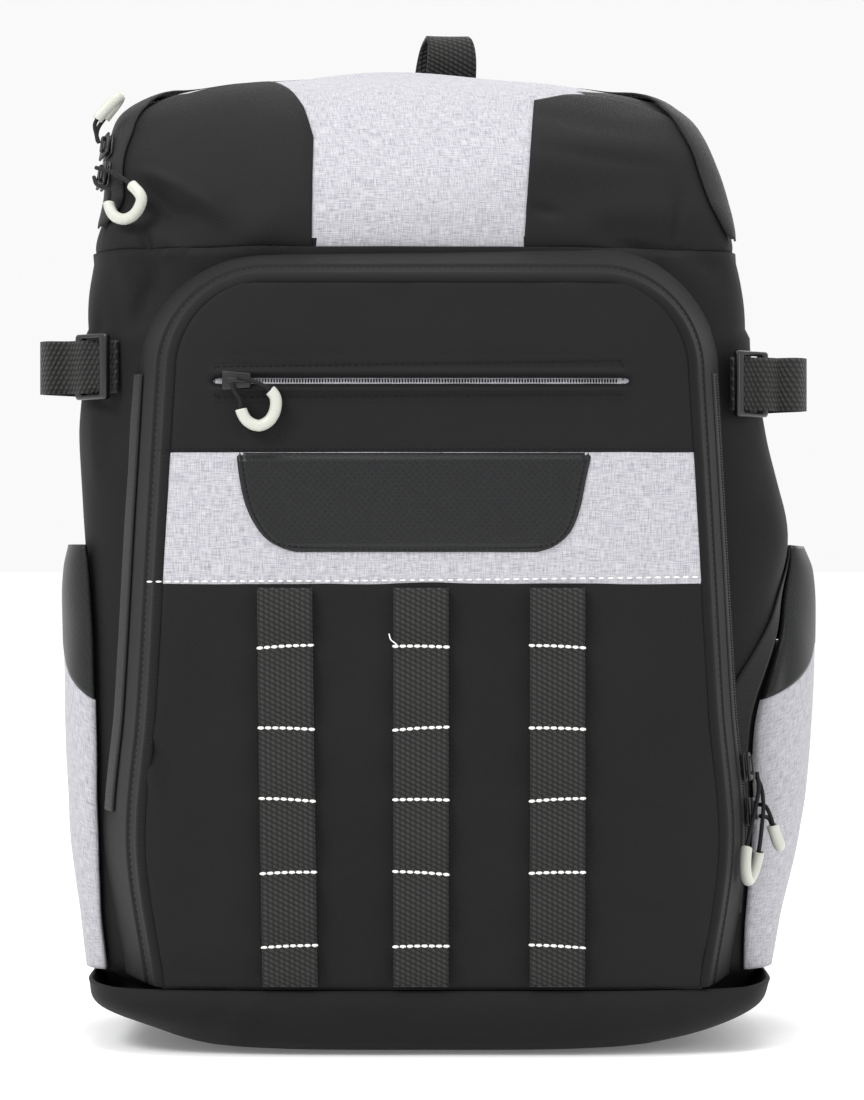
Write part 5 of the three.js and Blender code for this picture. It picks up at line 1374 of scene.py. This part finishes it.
# %% Haul loop
HAUL_RISE, HAUL_GAP, BODY_BACK = 24, 20, BODY_MIDDLE + BODY_DEPTH / 2
top, low = HEIGHT + HAUL_RISE, HEIGHT - CLOTH
ribbon("haul_loop", [
    (9, BODY_BACK - HAUL_GAP + 4, low - HAUL_RISE * 0.4), (10, BODY_BACK - HAUL_GAP, top - HAUL_RISE * 0.55),
    (9, BODY_BACK - HAUL_GAP + 3, top - HAUL_RISE * 0.2), (7, BODY_BACK - HAUL_GAP / 2, top - WEBBING_THICK),
    (4, BODY_BACK + 1, top - HAUL_RISE * 0.3), (3, BODY_BACK + 2, low - HAUL_RISE * 0.4),
    (3, BODY_BACK + 1.5, low - HAUL_RISE * 1.3)], (1, 0.1, 0), (1, 0, 0), narrow=0.24)

# %% [markdown]
# ## Back panel and shoulder straps
#
# These are the padded parts on the wearer's side: a thick mesh panel with a channel for air down its middle, and
# two padded straps that end in webbing and a ladder lock. The photograph doesn't show them, so their forms are
# plain. The panel is a sheet over the body. A strap is a closed pad: its section is a flat oval carried along a
# hanging line.

# %% Back panel and shoulder straps
BACK_PAD, BACK_EDGE_TURN, BACK_TOP_LEVEL, BACK_RIM, BACK_RIM_SHARE = 12, 0.13, 1.5, 0.4, 0.1
CHANNEL_DEPTH, CHANNEL_HALF = 0.45, 1 / 12
SHOULDER_WIDTH, SHOULDER_PAD, SHOULDER_TOP, SHOULDER_FOOT = 62, 11, 418, 150
SHOULDER_SPREAD, SHOULDER_REACH = 44, 32
WEB_TURN, WEB_FOOT = 0.07, 48


def back_at(u, v):
    rim = np.clip(np.minimum(np.minimum(u, 1 - u), np.minimum(v, 1 - v)) / BACK_RIM_SHARE, 0, 1)
    channel = CHANNEL_DEPTH * np.exp(-((u - 0.5) / CHANNEL_HALF) ** 2)
    pad = BACK_PAD * lerp(BACK_RIM, 1, np.sin(rim * math.pi / 2)) * (1 - channel)
    level = lerp(level_at(BOOT_HEIGHT + CLOTH), BACK_TOP_LEVEL, v)
    return body_point(lerp(2 + BACK_EDGE_TURN, 3 - BACK_EDGE_TURN, u), level, pad)


back = sheet("back_panel", 120, 150, back_at, MESH, 4.5)
pads = [back]

# %% [markdown]
# ## Shoulder straps
#
# Each strap is a padded band that falls from the top of the back and widens outwards to its foot. A table gives how
# far it lies aside and away from the back, and its section is a flat oval carried down that line. Webbing runs on
# from under its foot, through a lock and down to the side of the base.

# %% Shoulder straps
SHOULDER_ROWS = table("fall aside away width", [
    [0.00, 1.00, -0.42, 0.86], [0.06, 1.00, 0.06, 0.92], [0.20, 1.04, 0.78, 1.00], [0.40, 1.22, 1.00, 1.00],
    [0.62, 1.62, 0.98, 0.95], [0.82, 2.02, 0.72, 0.84], [1.00, 2.30, 0.40, 0.66],
])


def shoulder_centre(side, fall):
    column = lambda name: along(SHOULDER_ROWS, "fall", name, fall)
    start = BODY_BACK + BACK_PAD + SHOULDER_PAD / 2 + 2 * SEAM
    return np.stack([side * column("aside") * SHOULDER_SPREAD, start + column("away") * SHOULDER_REACH,
                     lerp(SHOULDER_TOP, SHOULDER_FOOT, np.asarray(fall, float))], -1)


def shoulder_at(side, u, v):
    """A closed pad: u goes once round its section"""
    fall = np.clip(v, 0, 1)
    ahead = shoulder_centre(side, np.minimum(fall + TINY, 1)) - shoulder_centre(side, np.maximum(fall - TINY, 0))
    across = np.cross(ahead, (0, 1, 0))
    across /= np.linalg.norm(across, axis=-1, keepdims=True)
    normal = np.cross(across, ahead)
    normal /= np.linalg.norm(normal, axis=-1, keepdims=True)
    angle = 2 * math.pi * u
    ends = np.sqrt(np.clip(np.minimum(v, 1 - v) / 0.02, 0.02, 1))
    width = SHOULDER_WIDTH * along(SHOULDER_ROWS, "fall", "width", fall) / 2
    aside = np.sign(np.cos(angle)) * np.abs(np.cos(angle)) ** 0.55 * width * lerp(0.9, 1, ends)
    thick = np.sign(np.sin(angle)) * np.abs(np.sin(angle)) ** 0.7 * SHOULDER_PAD / 2 * ends
    return shoulder_centre(side, fall) + across * aside[..., None] + normal * thick[..., None]


for name, side in (("left", -1), ("right", 1)):
    strap = sheet("shoulder_strap_" + name, 64, 150, lambda u, v: shoulder_at(side, u, v), MESH, 0,
                  weld=True)
    pads.append(strap)
    end = shoulder_centre(side, 1)
    ahead = unit(end - shoulder_centre(side, 0.94))
    across = unit(np.cross(ahead, (0, 1, 0)))
    out = unit(np.cross(across, ahead))
    under = -SHOULDER_PAD / 2 - SEAM - WEBBING_THICK / 2
    seat = end + ahead * (LOCK_WIDTH / 2 + 1) + out * under
    place = [seat + ahead * a * LOCK_WIDTH + out * (o - STRAP_SEAT) * WEBBING_THICK for a, o in STRAP_ROWS]
    turn = 3 - WEB_TURN if side < 0 else 2 + WEB_TURN
    foot = body_point(turn, level_at(WEB_FOOT), 0.4)
    heel = body_point(turn, level_at(WEB_FOOT + WEBBING), SEAM + 3 * WEBBING_THICK)
    line = [seat - ahead * 1.4 * LOCK_WIDTH, *place, lerp(place[4], heel, 0.55) + (side * 3, 5, 0), heel, foot]
    tangent = body_point(turn + 0.03, level_at(WEB_FOOT)) - body_point(turn - 0.03, level_at(WEB_FOOT))
    towards = unit(tangent) * (np.sign(tangent @ across) or 1)
    ribbon("shoulder_webbing_" + name, line, across, towards)
    ladder_lock("shoulder_lock_" + name, seat + out * (LOCK_RISE - STRAP_SEAT) * WEBBING_THICK, ahead, -across)
print("pads to fill:", [pad.name for pad in pads])

# %% [markdown]
# ## Filling the pads
#
# The pads are filled with foam, and cloth pulled over foam crowns between its seams. The cloth simulation blows each
# pad up a little from inside and rounds its edges, which no formula does as well. It needs an even mesh, so the pads
# are remeshed first, and each point's way is capped, so that no pad leaves its place. The sewn lines are pressed in
# afterwards, because the remesh would take them out. A piping then covers each pad's edge.

# %% Filling the pads
def settled(piece):
    """The piece's mesh becomes what its modifiers make of it"""
    graph = bpy.context.evaluated_depsgraph_get()
    made = bpy.data.meshes.new_from_object(piece.evaluated_get(graph))
    piece.modifiers.clear()
    old, piece.data = piece.data, made
    bpy.data.meshes.remove(old)
    made.shade_smooth()
    return np.array([vert.co for vert in made.vertices])


VOXEL, PRESSURE, CAP, FRAMES, FILL = 0.0036, 4.0, 0.0026, 20, 0.8


def swell(pieces):
    """Remeshes the pieces, blows them up from inside and caps how far each point moves"""
    starts = []
    for piece in pieces:
        coarse = piece.modifiers.new("remesh", "REMESH")
        coarse.mode, coarse.voxel_size = "VOXEL", VOXEL
        starts.append(settled(piece))
        cloth = piece.modifiers.new("swell", "CLOTH")
        cloth.settings.use_pressure = True
        cloth.settings.uniform_pressure_force = PRESSURE
        cloth.settings.effector_weights.gravity = 0
        cloth.settings.quality = 4
        cloth.point_cache.frame_end = FRAMES
    for moment in range(1, FRAMES + 1):
        scene.frame_set(moment)
    for piece, start in zip(pieces, starts):
        moved = settled(piece) - start
        far = np.linalg.norm(moved, axis=1, keepdims=True)
        ended = start + moved * np.minimum(1, CAP / np.maximum(far, 1e-9))
        piece.data.vertices.foreach_set("co", ended.ravel())
        print(f"{piece.name}: swelled by up to {min(far.max(), CAP) * 1000:.1f} mm")
    scene.frame_set(1)


SEWN_LEVELS, SEWN_ASIDE, SEWN_END, SEWN_DEPTH = (130, 230, 330), 24, 108, 2.4
swell(pads)
for piece in pads:
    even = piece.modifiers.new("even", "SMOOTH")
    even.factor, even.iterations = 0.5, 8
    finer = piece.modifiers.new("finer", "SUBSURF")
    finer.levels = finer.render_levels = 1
    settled(piece)
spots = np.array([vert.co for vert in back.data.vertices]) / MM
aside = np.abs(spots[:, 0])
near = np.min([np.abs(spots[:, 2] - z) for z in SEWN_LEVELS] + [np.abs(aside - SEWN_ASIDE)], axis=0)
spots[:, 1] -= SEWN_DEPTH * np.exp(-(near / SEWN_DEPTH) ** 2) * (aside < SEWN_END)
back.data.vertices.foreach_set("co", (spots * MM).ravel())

# %% [markdown]
# ## Piping
#
# A cord wrapped in cloth is sewn into the edge of each pad. It hides the raw edge, and here it also hides where the
# remeshed pad meets the body. It is a round cord along the rim of the unfilled pad.

# %% Piping
BACK_PIPING, STRAP_PIPING = 1.9, 1.7
wide, tall = np.linspace(0, 1, 60), np.linspace(0, 1, 90)
edges = [(wide, 0 * wide), (0 * tall + 1, tall), (wide[::-1], 0 * wide + 1), (0 * tall, tall[::-1])]
u, v = (np.concatenate(values) for values in zip(*edges))
curve_piece("back_piping", back_at(u, v), BACK_PIPING, SMOOTH_CLOTH, closed=True)
for name, side in (("left", -1), ("right", 1)):
    down, up = np.linspace(0.01, 0.99, 80), np.linspace(0.99, 0.01, 80)
    rim = np.vstack([shoulder_at(side, 0 * down, down), shoulder_at(side, 0 * up + 0.5, up)])
    curve_piece("strap_piping_" + name, rim, STRAP_PIPING, SMOOTH_CLOTH, closed=True)

# %% [markdown]
# ## Sliders
#
# Each zip slider is a small moulding of two plates and a bridge, made of bevelled boxes. Its pull is one loop of
# thin cord, which the next step adds. A mesh carved from one block would look the same from here, but boxes are
# easier to correct one by one.

# %% Sliders
# Middle, direction of travel and direction out of the cloth
SLIDERS = {
    "window": ((-88.9, -96.7, 308.0), (-1, 0.06, 0), (-0.06, -1, 0.03)),
    "pocket_1": ((145.3, -55.1, 129.5), (0.11, 0.01, -0.99), (0.97, -0.22, 0.10)),
    "pocket_2": ((147.1, -54.9, 108.7), (0.05, 0.01, -1), (0.97, -0.22, 0.04)),
    "main_1": ((-154.3, -6.1, 423.1), (-0.05, -0.54, -0.84), (-0.86, -0.40, 0.31)),
    "main_2": ((-154.9, -14.2, 408.5), (-0.09, -0.43, -0.90), (-0.87, -0.40, 0.28)),
}
SLIDER_LENGTH, SLIDER_WIDTH, SLIDER_THICK = 13, 9, 4.5


# Size, middle and bevel of the boxes of a slider: two plates, the post between them, and the bridge on two feet
SLIDER_BOXES = [
    ((SLIDER_LENGTH, SLIDER_WIDTH, 1.3), (0, 0, 0.65), 0.5),
    ((SLIDER_LENGTH, SLIDER_WIDTH, 1.3), (0, 0, 2.85), 0.5),
    ((3.5, 2.6, 2.4), (SLIDER_LENGTH * 0.25, 0, 1.7), 0.4),
    ((8.5, 2.4, 1.0), (-0.5, 0, SLIDER_THICK), 0.4),
    ((1.4, 2.4, 1.8), (-4.2, 0, 4.0), 0.4),
    ((1.4, 2.4, 1.8), (3.2, 0, 4.0), 0.4),
]


def slider(name, centre, ahead, out):
    bm = bmesh.new()
    for size, middle, bevel in SLIDER_BOXES:
        bevelled_box(bm, size, middle, bevel)
    for vert in bm.verts:
        vert.co.y *= 1 - 0.28 * max(0, -vert.co.x / (SLIDER_LENGTH / 2))
    out, ahead = Vector(out).normalized(), Vector(ahead)
    moulded(bm, "slider_" + name, centre, (ahead - out * ahead.dot(out)).normalized(), out)


for name, (centre, ahead, out) in SLIDERS.items():
    slider(name, centre, ahead, out)

# %% [markdown]
# ## Cords and tubes
#
# Each pull is a loop of thin cord through a soft pale tube. The loops hang as the photograph shows them, so each
# route is a list of points with a smooth line through them. The tube is a sheet turned round the same line: its
# profile runs along the outside, round one lip, back along the bore and round the other.

# %% Cords and tubes
CORD, TUBE, TUBE_BORE, CORD_STEPS, TUBE_STEPS = 2.0, 5.4, 3.6, 180, 12
# The tube's first and last step, then the points of the cord
CORD_ROUTES = {
    "main_1": ((3, 11), [
        (-159.4, -9.6, 425.2), (-160.8, -8.8, 429.8), (-161.4, -8.0, 434.6), (-156.6, -7.4, 441.3),
        (-151.9, -5.6, 446.4), (-150.2, -2.2, 447.8), (-151.4, 1.2, 446.2), (-155.9, 2.6, 440.6),
        (-160.7, 2.6, 433.8), (-161.2, -0.6, 429.6), (-160.4, -4.8, 426.6)]),
    "main_2": ((4, 10), [
        (-161.2, -15.6, 408.2), (-159.0, -24.0, 404.0), (-152.9, -31.2, 400.5), (-152.6, -33.4, 393.6),
        (-149.6, -37.4, 388.0), (-144.4, -41.0, 386.2), (-139.2, -43.8, 388.8), (-136.3, -45.2, 395.5),
        (-140.6, -42.0, 401.6), (-149.6, -33.4, 408.2), (-160.0, -17.6, 412.6)]),
    "window": ((3, 11), [
        (-91.0, -103.2, 306.4), (-89.8, -103.2, 303.0), (-87.4, -103.0, 299.2), (-86.6, -102.8, 294.2),
        (-83.9, -102.8, 289.6), (-78.8, -102.8, 287.4), (-73.8, -102.9, 289.8), (-71.1, -103.0, 295.2),
        (-71.4, -103.2, 300.8), (-75.6, -103.8, 305.0), (-82.4, -104.0, 307.9), (-88.6, -103.4, 309.6)]),
    "pocket_1": ((5, 10), [
        (151.4, -57.5, 127.0), (152.0, -60.5, 120.0), (150.5, -63.4, 112.0), (148.0, -66.0, 102.0),
        (145.5, -70.5, 92.4), (144.8, -72.6, 85.4), (145.5, -69.4, 79.8), (146.9, -64.6, 77.4),
        (149.0, -60.8, 79.8), (151.0, -60.0, 85.4), (152.2, -61.4, 92.0), (153.2, -63.2, 102.0),
        (154.0, -62.4, 112.0), (153.4, -58.6, 120.0), (151.6, -54.8, 124.6)]),
    "pocket_2": ((4, 12), [
        (152.6, -56.4, 112.0), (155.4, -59.6, 111.2), (157.6, -61.0, 106.4), (159.4, -61.2, 99.6),
        (161.4, -58.8, 94.4), (162.2, -54.0, 92.6), (161.6, -49.4, 94.4), (160.0, -47.6, 99.6),
        (157.6, -49.4, 105.0), (153.2, -53.8, 106.4)]),
}


def tube_piece(name, line):
    """A soft tube with a bore and rounded ends round a line of points"""
    ahead = np.gradient(line, axis=0)
    ahead /= np.linalg.norm(ahead, axis=1, keepdims=True)
    side = np.zeros_like(ahead)
    side[0] = unit(np.cross(ahead[0], (0.3, 0.2, 1)))
    for k in range(1, len(line)):
        side[k] = unit(side[k - 1] - ahead[k] * (side[k - 1] @ ahead[k]))
    other = np.cross(ahead, side)
    far = np.concatenate([[0], np.cumsum(np.linalg.norm(np.diff(line, axis=0), axis=1))])
    length, outer, bore = far[-1], TUBE / 2, TUBE_BORE / 2
    lip = (outer - bore) / 2
    arc = np.linspace(0, math.pi, 9)
    profile = np.array(
        [(x, outer) for x in np.linspace(lip, length - lip, 41)]
        + [(length - lip + lip * math.sin(a), outer - lip + lip * math.cos(a)) for a in arc[1:]]
        + [(x, bore) for x in np.linspace(length - lip, lip, 41)[1:]]
        + [(lip - lip * math.sin(a), bore + lip - lip * math.cos(a)) for a in arc[1:]])
    keys = np.linspace(0, 1, len(profile))

    def at(u, v):
        x, r = np.interp(v, keys, profile[:, 0]), np.interp(v, keys, profile[:, 1])
        pick = lambda rows: np.stack([np.interp(x, far, rows[:, i]) for i in range(3)], -1)
        angle = 2 * math.pi * u
        aside, above = (r * np.cos(angle))[..., None], (r * np.sin(angle))[..., None]
        return pick(line) + pick(side) * aside + pick(other) * above

    return sheet(name, 24, len(profile) - 1, at, TUBE_FINISH, 0, weld=True)


for name, ((start, stop), points) in CORD_ROUTES.items():
    line, length = smooth_line(points, CORD_STEPS + 1)
    cord = curve_piece("pull_cord_" + name, line, CORD / 2, CORD_FINISH)
    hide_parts("pull_cord_" + name)
    tube = tube_piece("pull_tube_" + name, line[start * TUBE_STEPS:stop * TUBE_STEPS + 1])
    print(f"pull_cord_{name}: {length:.1f} mm")

# %% [markdown]
# ## Floor and finish
#
# The pack stands on a pale floor that runs on into the white surround. It glows very slightly, so that its far end
# doesn't show as a grey line. The floor belongs to the picture, not to the part.

# %% Floor and finish
bm = bmesh.new()
FLOOR_HALF, FLOOR_DROP, FLOOR_GLOW = 20, 0.0004, 0.12
bmesh.ops.create_grid(bm, x_segments=1, y_segments=1, size=FLOOR_HALF)
floor_mesh = bpy.data.meshes.new("floor")
bm.to_mesh(floor_mesh)
bm.free()
floor = bpy.data.objects.new("floor", floor_mesh)
floor.location.z = -FLOOR_DROP
scene.collection.objects.link(floor)
floor_mesh.materials.append(plain("floor", (1.0, 1.0, 1.0), 1.0, 0.0, 0.0))
glow = floor_mesh.materials[0].node_tree.nodes["Principled BSDF"].inputs
glow["Emission Color"].default_value = (1, 1, 1, 1)
glow["Emission Strength"].default_value = FLOOR_GLOW
